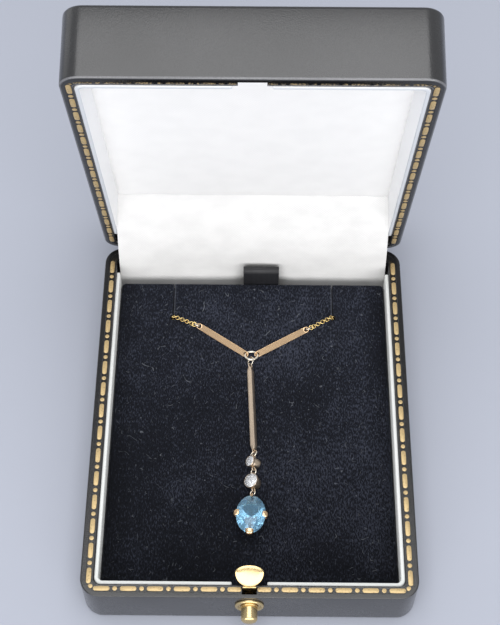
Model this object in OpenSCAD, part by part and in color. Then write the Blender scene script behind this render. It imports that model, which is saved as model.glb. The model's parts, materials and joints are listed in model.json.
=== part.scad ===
// Lavaliere necklace lying on the velvet pad of its hinged presentation box.
// Millimetres, +Z up, +Y towards the hinge. The origin is the centre of the base's underside.

/* [Case] */
// Outside width of the case
case_w = 82; // [80:1:90]
// Outside depth of the case, from the front face to the hinge side
case_d = 102; // [100:1:110]
// Height of the base
base_h = 13.6; // [13.6:0.1:15]
// Height of the lid
lid_h = 17.7; // [17:0.1:20]
// How far the lid stands open from closed, in degrees
lid_open = 75; // [70:1:85]
// Radius of the upright corners
corner_r = 4.8; // [4:0.1:6]
// Width of the covered rim
rim_w = 3.25; // [3:0.05:3.5]
// Thickness of the base's floor
floor_t = 2; // [1.5:0.1:2]
// Thickness of the lid's roof
roof_t = 3; // [2:0.1:3]

/* [Linings and pads] */
// Thickness of the white lining collars
lining_t = 1; // [0.8:0.1:1.1]
// Height of the velvet surface above the underside
velvet_top = 9; // [8.8:0.1:9.2]
// Thickness of the velvet pad's top
velvet_t = 2.5; // [2:0.1:3]
// Width of a slit in the velvet pad
slit_w = 0.6; // [0.4:0.1:0.8]
// Radius of the hole at the front end of a slit
slit_hole_r = 0.9; // [0.85:0.05:1]
// Depth of the padded panel below the lid's rim
panel_depth = 5.2; // [5:0.1:6]
// Thickness of the satin hinge cover
cover_t = 1.1; // [1:0.1:1.3]
// Width of the ribbon pull tab
tab_w = 9.8; // [8:0.2:11]

/* [Fastening] */
// Radius of the hinge barrel
barrel_r = 1.3; // [1.2:0.05:1.35]
// Radius of the hinge pin
pin_r = 0.6; // [0.5:0.05:0.7]
// Radius of the push button
button_r = 2; // [1.8:0.1:2.2]
// How far the push button stands out of the front face
button_out = 4.5; // [3:0.1:5]
// Radius of the round plate behind the push button
plate_r = 3.55; // [3.2:0.05:3.8]
// Radius of the catch's shield head
shield_r = 3.45; // [3:0.05:3.6]

/* [Necklace] */
// Distance between the two holes of a side bar
bar_span = 15.4; // [14:0.1:16]
// Width of a side bar
bar_w = 1.6; // [1.5:0.05:1.8]
// Thickness of a side bar
bar_t = 0.3; // [0.25:0.01:0.32]
// Radius of a side bar's holes
bar_hole_r = 0.55; // [0.54:0.01:0.58]
// Side of the square drop bar
drop_side = 1.35; // [1.2:0.05:1.4]
// Radius of the centre ring, to the middle of its wire
ring_r = 1.68; // [1.66:0.01:1.7]
// Radius of the centre ring's wire
ring_wire = 0.17; // [0.15:0.01:0.18]
// Radius of a chain link, to the middle of its wire
link_r = 0.5; // [0.5:0.005:0.52]
// Radius of a chain link's wire
link_wire = 0.115; // [0.1:0.005:0.115]
// Length of the blue stone
blue_len = 10.1; // [10:0.1:10.2]
// Width of the blue stone
blue_wid = 7.4; // [7.3:0.1:7.5]

/* [Hidden] */
$fn = 48;
gap = 0.1;

// Case, derived
hinge_y = case_d / 2;
front_y = -case_d / 2;
rim_gap = 0.3;
hinge_z = base_h + rim_gap / 2;
inner_w = case_w - 2 * rim_w;
inner_d = case_d - 2 * rim_w;
inner_r = 1.9;
lining_w = inner_w - gap;
lining_d = inner_d - gap;
lining_recess = 0.5;
lining_proud = 0.25;
lining_rear = 42.2;
lid_lining_rear = 17;
pad_w = lining_w - 2 * lining_t - 0.4;
pad_front = -(lining_d / 2 - lining_t - 0.2);
pad_rear = 42.4;
pad_wall = 1.5;
panel_w = 70.6;
panel_front = -46;
panel_rear = 25;

// Hinge, derived
hinge_half = 30;
groove_r = barrel_r + 0.2;
leaf_t = 0.4;
leaf_in = 48.2;
leaf_out = hinge_y - groove_r - 0.05;
base_knuckles = [[-30, -18.1], [-5.9, 5.9], [18.1, 30]];
lid_knuckles = [[-17.9, -6.1], [6.1, 17.9]];

// Catch and button, derived
button_z = 8.8;
slot_half = 1.8;
slot_y = [-50.2, -48.4];
slot_bottom = 6;
stem_half = 1.6;
stem_y = [-49.9, -49.3];
stem_top = 14.5;
head_t = 0.6;
head_slope = 40;
notch_half = 4.3;
lid_pocket_half = 3.1;
lid_pocket_front = -50.2;
lid_pocket_h = 3;

// Slits, where the chain goes below, as x, y of the front end
slit_left = [-21.8, 31.2];
slit_right = [22.2, 31.4];

// Necklace, derived
ring_at = [-0.1, 18.5, 9.87];
ring_tilt = 21;
hole_up = 0.6;
hole_out = sqrt(pow(ring_r, 2) - pow(hole_up / cos(ring_tilt), 2));
inner_hole_z = ring_at[2] - hole_up * tan(ring_tilt);
outer_hole_z = 9.8;
left_heading = 145.6;
right_heading = 30.6;
bar_roll = 27;
bar_rise = asin((outer_hole_z - inner_hole_z) / bar_span);
jump_r = 0.74;
jump_wire = 0.15;
first_r = 0.56;
first_wire = 0.115;
jump_to_first = jump_r + first_r - jump_wire - first_wire - 0.11;
chain_z = 9.78;
left_chain_heading = 161;
right_chain_heading = 27.5;
left_links = 8;
right_links = 9;
link_step = 2 * link_r - 2 * link_wire - 0.103;
drop_jump_r = 0.88;
drop_jump_wire = 0.16;
eye_r = 0.5;
eye_wire = 0.16;
drop_turn = 43;
drop_top = 14.75;
drop_bottom = -9.75;
drop_x = [-0.35, 0.79];
drop_z = 10.05;

// Diamonds: place, tilt, front radius, back radius, collet depth, stone radius
small_at = [0.74, -13.9, 10.97];
small_tilt = 46;
small_front_r = 1.45;
small_back_r = 1.2;
large_at = [0.77, -19.5, 11.06];
large_tilt = 30;
large_front_r = 1.93;
large_back_r = 1.4;
collet_h = 2.9;
bezel_t = 0.16;

// Blue stone
blue_at = [0.15, -28.9, 12.6];
blue_turn = -3.5;
blue_eye = [0.42, -23.25, 11];

// Hidden run of the left half of the chain: points from the slit down and round under the pad
left_run = [
    [-21.8, 31.2, 8.9], [-21.8, 31.2, 7.6], [-21.8, 31.2, 5.6], [-22.6, 31.2, 3.6], [-26, 29.5, 2.8],
    [-30.5, 25, 2.8], [-32, 16, 2.8], [-32, 4, 2.8], [-32, -8, 2.8], [-32, -20, 2.8],
    [-31.5, -31, 2.8], [-27.5, -39, 2.8], [-19, -42.5, 2.8], [-10.5, -40, 2.8], [-7, -31.5, 2.8],
    [-7, -20, 2.8], [-7, -8, 2.8], [-7, 4, 2.8], [-7, 14, 2.8], [-6.6, 20.5, 2.8], [-3.9, 24.8, 2.9]
];
// Hidden run of the right half of the chain
right_run = [
    [22.2, 31.4, 8.9], [22.2, 31.4, 7.6], [22.2, 31.4, 5.6], [23, 31.2, 3.6], [26.2, 29.5, 2.8],
    [30.5, 25, 2.8], [32, 16, 2.8], [32, 4, 2.8], [32, -8, 2.8], [32, -20, 2.8],
    [31.5, -31, 2.8], [27.5, -39, 2.8], [19, -42.5, 2.8], [10.5, -40, 2.8], [7, -31.5, 2.8],
    [7, -20, 2.8], [7, -8, 2.8], [7, 4, 2.8], [7, 14, 2.8], [6.6, 20.5, 2.8], [3.9, 24.8, 2.9]
];
run_r = link_r + link_wire;
clasp_at = [0, 25, 3];
clasp_r = 2.2;
clasp_wire = 0.4;

// Plain helpers

module rounded_plate(w, d, r) {
    square([w - 2 * r, d], center = true);
    square([w, d - 2 * r], center = true);
    for (x = [-1, 1], y = [-1, 1])
        translate([x * (w / 2 - r), y * (d / 2 - r)]) circle(r = r);
}

// A block between two corners
module block(low, high) {
    translate(low) cube(high - low);
}

// Turns what is drawn closed to the open lid's place
module opened() {
    translate([0, hinge_y, hinge_z])
        rotate([-lid_open, 0, 0])
            translate([0, -hinge_y, -hinge_z])
                children();
}

module torus(r, wire) {
    rotate_extrude() translate([r, 0]) circle(r = wire);
}

// A straight cylinder along X between two places
module barrel(x0, x1, r) {
    translate([x0, hinge_y, hinge_z]) rotate([0, 90, 0]) cylinder(r = r, h = x1 - x0);
}

function unit(v) = v / norm(v);

// A point on the smooth curve through the listed points, at i + t
function spline(p, i, t) =
    let (
        a = p[max(i - 1, 0)],
        b = p[i],
        c = p[min(i + 1, len(p) - 1)],
        d = p[min(i + 2, len(p) - 1)]
    )
    0.5 * (2 * b + (c - a) * t + (2 * a - 5 * b + 4 * c - d) * t * t
        + (3 * b - a - 3 * c + d) * t * t * t);

function smooth(p, steps) = concat(
    [for (i = [0:len(p) - 2], k = [0:steps - 1]) spline(p, i, k / steps)],
    [p[len(p) - 1]]
);

// Sweeps a round section along a path, as one closed solid
module tube(path, r, sides) {
    last = len(path) - 1;
    dirs = [for (i = [0:last]) unit(path[min(i + 1, last)] - path[max(i - 1, 0)])];
    first = unit(cross(dirs[0], [1, 0.2, 0]));
    normals = [
        for (i = 0, n = first; i <= last;
            i = i + 1,
            n = i <= last ? unit(n - dirs[i] * (n * dirs[i])) : n) n
    ];
    points = [
        for (i = [0:last], s = [0:sides - 1])
            let (a = 360 * s / sides)
            path[i] + r * (cos(a) * normals[i] + sin(a) * cross(dirs[i], normals[i]))
    ];
    walls = [
        for (i = [0:last - 1], s = [0:sides - 1])
            let (t = (s + 1) % sides)
            [i * sides + s, (i + 1) * sides + s, (i + 1) * sides + t, i * sides + t]
    ];
    start = [for (s = [0:sides - 1]) s];
    end = [for (s = [sides - 1:-1:0]) last * sides + s];
    polyhedron(points, concat([start], walls, [end]));
}

// A round or oval brilliant: a table, a crown of 32 facets, a girdle and a pavilion of 32 facets
module brilliant(a, b, crown, girdle, depth) {
    function at(turn, out, z) = [a * out * cos(turn), b * out * sin(turn), z];
    table = [for (k = [0:7]) at(22.5 + 45 * k, 0.57, crown + girdle)];
    mid = [for (k = [0:7]) at(45 * k, 0.8, 0.6 * crown + girdle)];
    upper = [for (k = [0:15]) at(22.5 * k, 1, girdle)];
    lower = [for (k = [0:15]) at(22.5 * k, 1, -girdle)];
    belly = [for (k = [0:7]) at(22.5 + 45 * k, 0.52, -girdle - 0.55 * depth)];
    culet = [[0, 0, -girdle - depth]];
    points = concat(table, mid, upper, lower, belly, culet);
    m = 8;
    u = 16;
    l = 32;
    p = 48;
    c = 56;
    faces = concat(
        [[for (k = [7:-1:0]) k]],
        [for (k = [0:7]) [k, (k + 1) % 8, m + (k + 1) % 8]],
        [for (k = [0:7]) [k, u + 2 * k + 1, m + k]],
        [for (k = [0:7]) [k, m + (k + 1) % 8, u + 2 * k + 1]],
        [for (k = [0:7]) [m + k, u + 2 * k + 1, u + 2 * k]],
        [for (k = [0:7]) [m + k, u + 2 * k, u + (2 * k + 15) % 16]],
        [for (k = [0:15]) [u + k, u + (k + 1) % 16, l + (k + 1) % 16]],
        [for (k = [0:15]) [u + k, l + (k + 1) % 16, l + k]],
        [for (k = [0:7]) [p + k, l + 2 * k, l + 2 * k + 1]],
        [for (k = [0:7]) [p + k, l + 2 * k + 1, l + (2 * k + 2) % 16]],
        [for (k = [0:7]) [c, l + 2 * k, p + k]],
        [for (k = [0:7]) [c, p + (k + 7) % 8, l + 2 * k]]
    );
    polyhedron(points, [for (f = faces) [f[2], f[1], f[0], each [for (i = [len(f) - 1:-1:3]) f[i]]]]);
}

// Case

module base_shell() {
    color("#2b2c30")
        difference() {
            linear_extrude(base_h) rounded_plate(case_w, case_d, corner_r);
            translate([0, 0, floor_t]) linear_extrude(base_h) rounded_plate(inner_w, inner_d, inner_r);
            barrel(-hinge_half - 0.6, hinge_half + 0.6, groove_r);
            block([-hinge_half - gap, leaf_in - gap, base_h - 0.6], [hinge_half + gap, hinge_y, base_h + 1]);
            block([-slot_half, slot_y[0], slot_bottom], [slot_half, slot_y[1], base_h + 1]);
            translate([0, slot_y[0] + gap, button_z]) rotate([90, 0, 0]) cylinder(r = 1.1, h = 2);
        }
}

// A collar along the two sides and the front, open at the hinge side
module collar(low, high, rear, notch_low, notch_high) {
    difference() {
        translate([0, 0, low]) linear_extrude(high - low) rounded_plate(lining_w, lining_d, inner_r);
        translate([0, 0, low - 1])
            linear_extrude(high - low + 2)
                rounded_plate(lining_w - 2 * lining_t, lining_d - 2 * lining_t, inner_r - lining_t + 0.3);
        block([-case_w, rear, low - 1], [case_w, case_d, high + 1]);
        block([-notch_half, -case_d, notch_low], [notch_half, -30, notch_high]);
    }
}

module base_lining() {
    color("#e9ebe6")
        collar(floor_t + gap, base_h - lining_recess, lining_rear, velvet_top - 1, base_h + 1);
}

// Stands in for a slit and the hole at its front end
module slit(at) {
    block([at[0] - slit_w / 2, at[1], velvet_top - velvet_t - 1], [at[0] + slit_w / 2, pad_rear + 1, velvet_top + 1]);
    translate([at[0], at[1], velvet_top - velvet_t - 1]) cylinder(r = slit_hole_r, h = velvet_t + 2);
}

// An upside-down tray that stands on the floor of the base
module velvet_pad() {
    length = pad_rear - pad_front;
    middle = (pad_rear + pad_front) / 2;
    color("#15161c")
        difference() {
            translate([0, middle, floor_t + gap])
                linear_extrude(velvet_top - floor_t - gap) rounded_plate(pad_w, length, 1.2);
            block(
                [-pad_w / 2 + pad_wall, pad_front + pad_wall, floor_t - 1],
                [pad_w / 2 - pad_wall, pad_rear - pad_wall, velvet_top - velvet_t]
            );
            slit(slit_left);
            slit(slit_right);
        }
}

// A loop of ribbon that stands up behind the pad
module pull_tab() {
    ribbon = 0.5;
    loop_r = 1.2;
    left = -2.5;
    front = pad_rear + gap;
    top = 13.6;
    color("#1a1a1e")
        translate([left, front + loop_r, top])
            rotate([90, 0, 90])
                linear_extrude(tab_w) {
                    difference() {
                        circle(r = loop_r);
                        circle(r = loop_r - ribbon);
                        translate([-loop_r - 1, -loop_r - 1]) square([2 * loop_r + 2, loop_r + 1]);
                    }
                    translate([-loop_r, 4 - top]) square([ribbon, top - 4]);
                    translate([loop_r - ribbon, 4 - top]) square([ribbon, top - 4]);
                }
}

// The front of the satin cover from the side, as y and z, from inside the base up to the lid's panel
cover_front = [
    [46.15, 3], [46.1, 7], [45.85, 11], [45.35, 15], [45.4, 20], [46.4, 26], [48, 33], [49.7, 39.8]
];

module satin_hinge_cover() {
    front = smooth(cover_front, 3);
    last = len(front) - 1;
    back = [
        for (i = [last:-1:0])
            let (d = unit(front[min(i + 1, last)] - front[max(i - 1, 0)]))
            front[i] + cover_t * [d[1], -d[0]]
    ];
    color("#f4f5f6")
        translate([-36.1, 0, 0])
            rotate([90, 0, 90]) linear_extrude(72.2) polygon(concat(front, back));
}

module hinge_leaf(spans, low) {
    difference() {
        union() {
            block([-hinge_half, leaf_in, low], [hinge_half, leaf_out, low + leaf_t]);
            for (s = spans) {
                block([s[0], leaf_out - 0.5, low], [s[1], hinge_y - 0.7, low + leaf_t]);
                barrel(s[0], s[1], barrel_r);
            }
        }
        barrel(-hinge_half - 1, hinge_half + 1, pin_r + 0.05);
    }
}

module hinge_leaf_base() {
    color("#b9a77a") hinge_leaf(base_knuckles, base_h - 0.55);
}

module hinge_leaf_lid() {
    color("#b9a77a") opened() hinge_leaf(lid_knuckles, hinge_z + 0.3);
}

module hinge_pin() {
    color("#8d8f93") barrel(-hinge_half - 0.3, hinge_half + 0.3, pin_r);
}

module lid_shell() {
    low = hinge_z + rim_gap / 2;
    color("#2b2c30")
        opened()
            difference() {
                translate([0, 0, low]) linear_extrude(hinge_z + lid_h - low) rounded_plate(case_w, case_d, corner_r);
                translate([0, 0, low - 1])
                    linear_extrude(hinge_z + lid_h - roof_t - low + 1) rounded_plate(inner_w, inner_d, inner_r);
                barrel(-hinge_half - 0.6, hinge_half + 0.6, groove_r);
                block([-hinge_half - gap, leaf_in - gap, low - 1], [hinge_half + gap, hinge_y, hinge_z + 0.8]);
                block(
                    [-lid_pocket_half, lid_pocket_front, low - 1],
                    [lid_pocket_half, -inner_d / 2 + 1, low + lid_pocket_h]
                );
            }
}

module lid_lining() {
    color("#e9ebe6")
        opened()
            collar(
                hinge_z + rim_gap / 2 - lining_proud, hinge_z + lid_h - roof_t - gap,
                hinge_y - lid_lining_rear, hinge_z - 1, hinge_z + 5.5
            );
}

// The wadded satin panel in the lid, with softened front edges
module lid_panel() {
    length = panel_rear - panel_front;
    middle = (panel_rear + panel_front) / 2;
    face = hinge_z + panel_depth;
    color("#fafafa")
        opened()
            translate([0, middle, 0])
                hull() {
                    translate([0, 0, face]) linear_extrude(1) rounded_plate(panel_w - 5, length - 5, 2);
                    translate([0, 0, face + 0.6]) linear_extrude(1) rounded_plate(panel_w - 1.6, length - 1.6, 2);
                    translate([0, 0, face + 2])
                        linear_extrude(hinge_z + lid_h - roof_t - gap - face - 2) rounded_plate(panel_w, length, 2);
                }
}

// A brass tongue that rises out of the rim's slot and fans out into a sloping shield
module catch_hook() {
    head_low = [0, stem_y[0] + 0.25, stem_top - 0.35];
    color("#d8bd72") {
        block([-stem_half, stem_y[0], slot_bottom + 0.2], [stem_half, stem_y[1], stem_top]);
        translate(head_low)
            rotate([head_slope, 0, 0])
                linear_extrude(head_t)
                    intersection() {
                        translate([0, 2.9]) circle(r = shield_r);
                        polygon([[-1.6, 0], [1.6, 0], [3.6, 3.6], [3.6, 7], [-3.6, 7], [-3.6, 3.6]]);
                    }
    }
}

module button_plate() {
    color("#c9a45a")
        translate([0, front_y - 0.05, button_z])
            rotate([90, 0, 0])
                rotate_extrude()
                    polygon([
                        [button_r + gap, 0], [plate_r, 0], [plate_r, 0.35], [plate_r - 0.35, 0.65],
                        [plate_r - 0.8, 0.65], [plate_r - 1.05, 0.35], [button_r + gap, 0.3]
                    ]);
}

module push_button() {
    dome = 1;
    ball_r = (pow(button_r, 2) + pow(dome, 2)) / (2 * dome);
    color("#e0c57c")
        translate([0, front_y - 0.1, button_z])
            rotate([90, 0, 0]) {
                cylinder(r = button_r, h = button_out - dome);
                intersection() {
                    translate([0, 0, button_out - ball_r]) sphere(r = ball_r);
                    translate([0, 0, 1]) cylinder(r = button_r, h = button_out);
                }
                translate([0, 0, -1]) cylinder(r = 1, h = 1.5);
            }
}

// Necklace

// A flat bar with round ends and two holes, from the origin along X
module side_bar() {
    translate([0, 0, -bar_t / 2])
        linear_extrude(bar_t)
            difference() {
                union() {
                    translate([0, -bar_w / 2]) square([bar_span, bar_w]);
                    circle(r = bar_w / 2);
                    translate([bar_span, 0]) circle(r = bar_w / 2);
                }
                circle(r = bar_hole_r);
                translate([bar_span, 0]) circle(r = bar_hole_r);
            }
}

left_hole = [ring_at[0] - hole_out, ring_at[1] + hole_up, inner_hole_z];
right_hole = [ring_at[0] + hole_out, ring_at[1] + hole_up, inner_hole_z];

module bar_left() {
    color("#d6b183")
        translate(left_hole)
            rotate([0, 0, left_heading]) rotate([-bar_roll, -bar_rise, 0]) side_bar();
}

module bar_right() {
    color("#d6b183")
        translate(right_hole)
            rotate([0, 0, right_heading]) rotate([bar_roll, -bar_rise, 0]) side_bar();
}

module centre_ring() {
    color("#dcc9a0")
        translate(ring_at) rotate([-ring_tilt, 0, 0]) torus(ring_r, ring_wire);
}

function ahead(p, heading, far) = p + far * [cos(heading), sin(heading), 0];

left_end = [
    left_hole[0] + bar_span * cos(left_heading), left_hole[1] + bar_span * sin(left_heading), outer_hole_z
];
right_end = [
    right_hole[0] + bar_span * cos(right_heading), right_hole[1] + bar_span * sin(right_heading), outer_hole_z
];

// A ring whose plane runs along the heading and leans by the given angle from level
module leaning_ring(at, heading, lean, r, wire) {
    translate(at) rotate([0, 0, heading]) rotate([lean, 0, 0]) torus(r, wire);
}

module jump_ring_left() {
    color("#dcc9a0")
        leaning_ring(ahead(left_end, left_heading, jump_r), left_heading, 48, jump_r, jump_wire);
}

module jump_ring_right() {
    color("#dcc9a0")
        leaning_ring(ahead(right_end, right_heading, jump_r), right_heading, -48, jump_r, jump_wire);
}

// Links that lean by turns one way and the other, the first one larger, then the run under the pad
module chain(from, heading, count, side, run) {
    first_step = first_r + link_r - first_wire - link_wire - 0.105;
    leaning_ring(from, heading, side * -40, first_r, first_wire);
    for (k = [0:count - 1])
        leaning_ring(
            ahead(from, heading, first_step + k * link_step), heading,
            side * (k % 2 == 0 ? 70 : -20), link_r, link_wire
        );
    tube(smooth(run, 2), run_r, 8);
    leaning_ring(clasp_at + [-side * (clasp_r + 0.05), 0, 0.05], 0, 70, 0.8, 0.15);
}

left_chain_at = ahead(ahead(left_end, left_heading, jump_r), left_chain_heading, jump_to_first - 0.05);
right_chain_at = ahead(ahead(right_end, right_heading, jump_r), right_chain_heading, jump_to_first);

module chain_left() {
    color("#d9bd6a")
        chain([left_chain_at[0], left_chain_at[1], chain_z], left_chain_heading, left_links, 1, left_run);
}

module chain_right() {
    color("#d9bd6a")
        chain([right_chain_at[0], right_chain_at[1], chain_z], right_chain_heading, right_links, -1, right_run);
}

// A plain ring clasp with a tag, under the pad
module clasp() {
    color("#d9bd6a")
        translate(clasp_at) {
            torus(clasp_r, clasp_wire);
            translate([0, clasp_r, 0]) cylinder(r = 0.75, h = 1, center = true);
        }
}

// An eyelet in the plane that stands across the drop's rings
module eyelet(at, r, wire) {
    translate(at) rotate([0, 90 - drop_turn, 0]) torus(r, wire);
}

module drop_bar() {
    slant = atan((drop_x[1] - drop_x[0]) / (drop_top - drop_bottom));
    middle = [(drop_x[0] + drop_x[1]) / 2, (drop_top + drop_bottom) / 2, drop_z];
    half = (drop_top - drop_bottom) / 2 / cos(slant);
    s = drop_side / 2;
    tip = s * 0.55;
    color("#d6b183")
        translate(middle)
            rotate([0, 0, slant]) {
                rotate([0, -35, 0])
                    translate([0, 0, -s])
                        linear_extrude(drop_side)
                            polygon([
                                [-tip, -half], [tip, -half], [s, -half + 1.2], [s, half - 1.2],
                                [tip, half], [-tip, half], [-s, half - 1.2], [-s, -half + 1.2]
                            ]);
                eyelet([0, half + 0.5, 0], 0.62, 0.17);
                eyelet([0, -half - 0.45, 0], eye_r, eye_wire);
            }
}

module jump_ring_centre() {
    color("#dcc9a0")
        translate([-0.28, 16.55, 10.2]) rotate([0, -55, 0]) torus(1.15, 0.16);
}

// A ring of the drop between two eyelets
module drop_ring(p, q) {
    way = q - p;
    middle = (p + q) / 2;
    r = norm(way) / 2 - 0.06;
    translate(middle)
        rotate([asin(way[2] / norm(way)), 0, atan2(way[1], way[0]) - 90])
            rotate([0, drop_turn, 0]) torus(r, drop_jump_wire);
}

function collet_eye(at, front, back, sign) = at + [0, sign * ((front + back) / 2 + 0.42), 0];

module drop_ring_upper() {
    color("#dcc9a0") drop_ring(
        [drop_x[1] + 0.02, drop_bottom - 0.45, drop_z],
        collet_eye(small_at, small_front_r, small_back_r, 1)
    );
}

module drop_ring_middle() {
    color("#dcc9a0") drop_ring(
        collet_eye(small_at, small_front_r, small_back_r, -1),
        collet_eye(large_at, large_front_r, large_back_r, 1)
    );
}

module drop_ring_lower() {
    color("#dcc9a0") drop_ring(collet_eye(large_at, large_front_r, large_back_r, -1), blue_eye);
}

// A deep conical cup with an eyelet on each side, leaning to the left
module collet(at, tilt, front, back) {
    color("#c79b72") {
        translate(at)
            rotate([0, -tilt, 0])
                difference() {
                    translate([0, 0, -collet_h / 2]) cylinder(r1 = back, r2 = front, h = collet_h);
                    translate([0, 0, -collet_h / 2 - 1]) cylinder(r = back - 0.35, h = collet_h + 2);
                    translate([0, 0, collet_h / 2 - 1]) cylinder(r1 = back - 0.35, r2 = front - bezel_t, h = 1.001);
                }
        for (side = [-1, 1])
            eyelet(collet_eye(at, front, back, side), eye_r, eye_wire);
    }
}

module round_stone(at, tilt, front) {
    r = front - bezel_t - gap;
    color("#eef2f6")
        translate(at)
            rotate([0, -tilt, 0])
                translate([0, 0, collet_h / 2]) brilliant(r, r, 0.32 * r, 0.03, 0.6 * r);
}

module collet_small() {
    collet(small_at, small_tilt, small_front_r, small_back_r);
}

module collet_large() {
    collet(large_at, large_tilt, large_front_r, large_back_r);
}

module diamond_small() {
    round_stone(small_at, small_tilt, small_front_r);
}

module diamond_large() {
    round_stone(large_at, large_tilt, large_front_r);
}

// An oval wire ring, as one closed swept solid
module oval_wire(a, b, z, wire) {
    steps = 24;
    sides = 6;
    points = [
        for (i = [0:steps - 1], s = [0:sides - 1])
            let (t = 360 * i / steps, v = 360 * s / sides, out = unit([cos(t) / a, sin(t) / b, 0]))
            [a * cos(t), b * sin(t), z] + wire * (cos(v) * out + sin(v) * [0, 0, 1])
    ];
    faces = [
        for (i = [0:steps - 1], s = [0:sides - 1])
            let (j = (i + 1) % steps, t = (s + 1) % sides)
            [i * sides + s, i * sides + t, j * sides + t, j * sides + s]
    ];
    polyhedron(points, faces);
}

// Two oval wires, four claws that bend over the stone, and an eyelet at the top
module claw_setting() {
    a = blue_wid / 2;
    b = blue_len / 2;
    low = velvet_top + 0.4 - blue_at[2];
    low_a = a - 1.7;
    low_b = b - 2.1;
    eye = blue_eye - blue_at;
    color("#c79b72")
        translate(blue_at) {
            rotate([0, 0, blue_turn]) {
                oval_wire(low_a, low_b, low, 0.26);
                oval_wire(a - 0.62, b - 0.8, -1.05, 0.24);
                for (k = [0:3]) {
                    across = [cos(90 * k), sin(90 * k), 0];
                    foot = [low_a * across[0], low_b * across[1], low];
                    girdle = [(a + 0.42) * across[0], (b + 0.42) * across[1], 0];
                    over = [(a + 0.2) * across[0], (b + 0.2) * across[1], 0.75];
                    tip = [(a - 0.5) * across[0], (b - 0.5) * across[1], 1.05];
                    tube([foot, girdle, over, tip], k == 3 ? 0.36 : 0.3, 8);
                }
            }
            translate([eye[0], b - 0.5, eye[2]]) rotate([-90, 0, 0]) cylinder(r = 0.25, h = eye[1] - b);
            eyelet(eye, eye_r, eye_wire);
        }
}

module blue_stone() {
    color("#7fc4e8")
        translate(blue_at)
            rotate([0, 0, blue_turn]) brilliant(blue_wid / 2, blue_len / 2, 1.15, 0.08, 2.9);
}

base_shell();
base_lining();
velvet_pad();
pull_tab();
satin_hinge_cover();
hinge_leaf_base();
hinge_pin();
hinge_leaf_lid();
lid_shell();
lid_lining();
lid_panel();
catch_hook();
button_plate();
push_button();
bar_left();
bar_right();
centre_ring();
drop_bar();
jump_ring_left();
jump_ring_right();
jump_ring_centre();
drop_ring_upper();
drop_ring_middle();
drop_ring_lower();
collet_small();
diamond_small();
collet_large();
diamond_large();
claw_setting();
blue_stone();
chain_left();
chain_right();
clasp();
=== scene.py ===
"""Lavaliere necklace on the velvet pad of its open presentation box, laid out as an add-on."""
import json
import math

import bmesh
import bpy
from mathutils import Matrix, Vector


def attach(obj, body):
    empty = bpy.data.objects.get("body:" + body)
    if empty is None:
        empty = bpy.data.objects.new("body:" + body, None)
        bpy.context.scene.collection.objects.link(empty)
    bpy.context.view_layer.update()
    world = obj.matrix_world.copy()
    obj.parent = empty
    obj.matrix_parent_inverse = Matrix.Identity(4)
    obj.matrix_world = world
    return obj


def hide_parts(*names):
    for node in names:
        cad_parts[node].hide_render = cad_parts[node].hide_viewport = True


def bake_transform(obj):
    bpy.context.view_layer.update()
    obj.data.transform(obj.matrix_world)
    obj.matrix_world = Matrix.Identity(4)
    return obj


bl_info = {
    "name": "Lavaliere Necklace and Box",
    "version": (1, 0, 0),
    "blender": (4, 5, 0),
    "location": "View3D > Sidebar > Necklace",
    "description": "Models a lavaliere necklace lying in its hinged presentation box",
    "category": "Object",
}

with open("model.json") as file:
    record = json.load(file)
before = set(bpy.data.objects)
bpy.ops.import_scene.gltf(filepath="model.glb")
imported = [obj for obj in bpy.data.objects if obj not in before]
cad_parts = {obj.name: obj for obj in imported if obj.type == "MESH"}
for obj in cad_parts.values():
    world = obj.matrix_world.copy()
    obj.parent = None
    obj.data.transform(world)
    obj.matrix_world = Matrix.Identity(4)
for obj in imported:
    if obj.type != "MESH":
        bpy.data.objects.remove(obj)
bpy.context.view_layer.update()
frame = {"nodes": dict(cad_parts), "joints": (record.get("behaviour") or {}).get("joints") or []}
NODES = frame["nodes"]
HINGE = Vector(frame["joints"][0]["pos_m"]) * 1000
OPEN_ANGLE = frame["joints"][0]["range_deg"][1]

# Sizes below are in millimetres, in the frame's axes, and each piece is scaled to metres when it is placed.
CASE_W, CASE_D, BASE_H, LID_H, CORNER_R, FOOT_R = 82.0, 102.0, 13.6, 17.7, 4.8, 1.0
LID_LOW = HINGE.z + 0.15
LID_TOP = HINGE.z + LID_H
BASE_FLOOR, LID_ROOF = 2.0, 3.0

# How near a height a point has to be to count as lying on it.
NEAR = 0.01

# The rim from its rounded outer edge inwards, as widths and rises, with a pressed band for the tooling.
RIM_FLAT, INNER_EDGE = 1.3, 0.2
RIM_STEPS = ((0.1, -0.08), (1.3, 0), (0.1, 0.08), (0.25, 0), (INNER_EDGE, -INNER_EDGE))
BASE_EDGE, LID_EDGE = 0.3, 0.75

# Room for the hinge, the slot of the catch in the base and its pocket in the lid.
HINGE_BORE, HINGE_CUT_HALF, HINGE_CUT_Y = (1.5, 61.2), 30.1, (48.1, 52.5)
SLOT_HALF, SLOT_Y, SLOT_BOTTOM = 1.8, (-50.2, -48.4), 6
POCKET_HALF, POCKET_Y, POCKET_H = 3.1, (-49.35, -46.75), 3
BUTTON_Z, BUTTON_BORE = 8.8, 1.1

# The tooling's line inside the outer face, its dashes, and how the two dashes beside the catch move and shorten.
TOOLING_IN, TOOLING_SINK, TOOLING_REAR = 2.08, 0.09, 47.5
FRONT_DASHES, SIDE_DASHES, SIDE_PERIOD, CORNER_DOT_IN = 12, 15, 6.45, 0.55
BASE_MIDDLE_DASH, LID_MIDDLE_DASH = (0.38, 0.84), (1.02, 0.5)
WORN_WIDTH, WORN_BACK, DARK_FOIL_LINE_Y = 0.6, 0.2, -47.8

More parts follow.
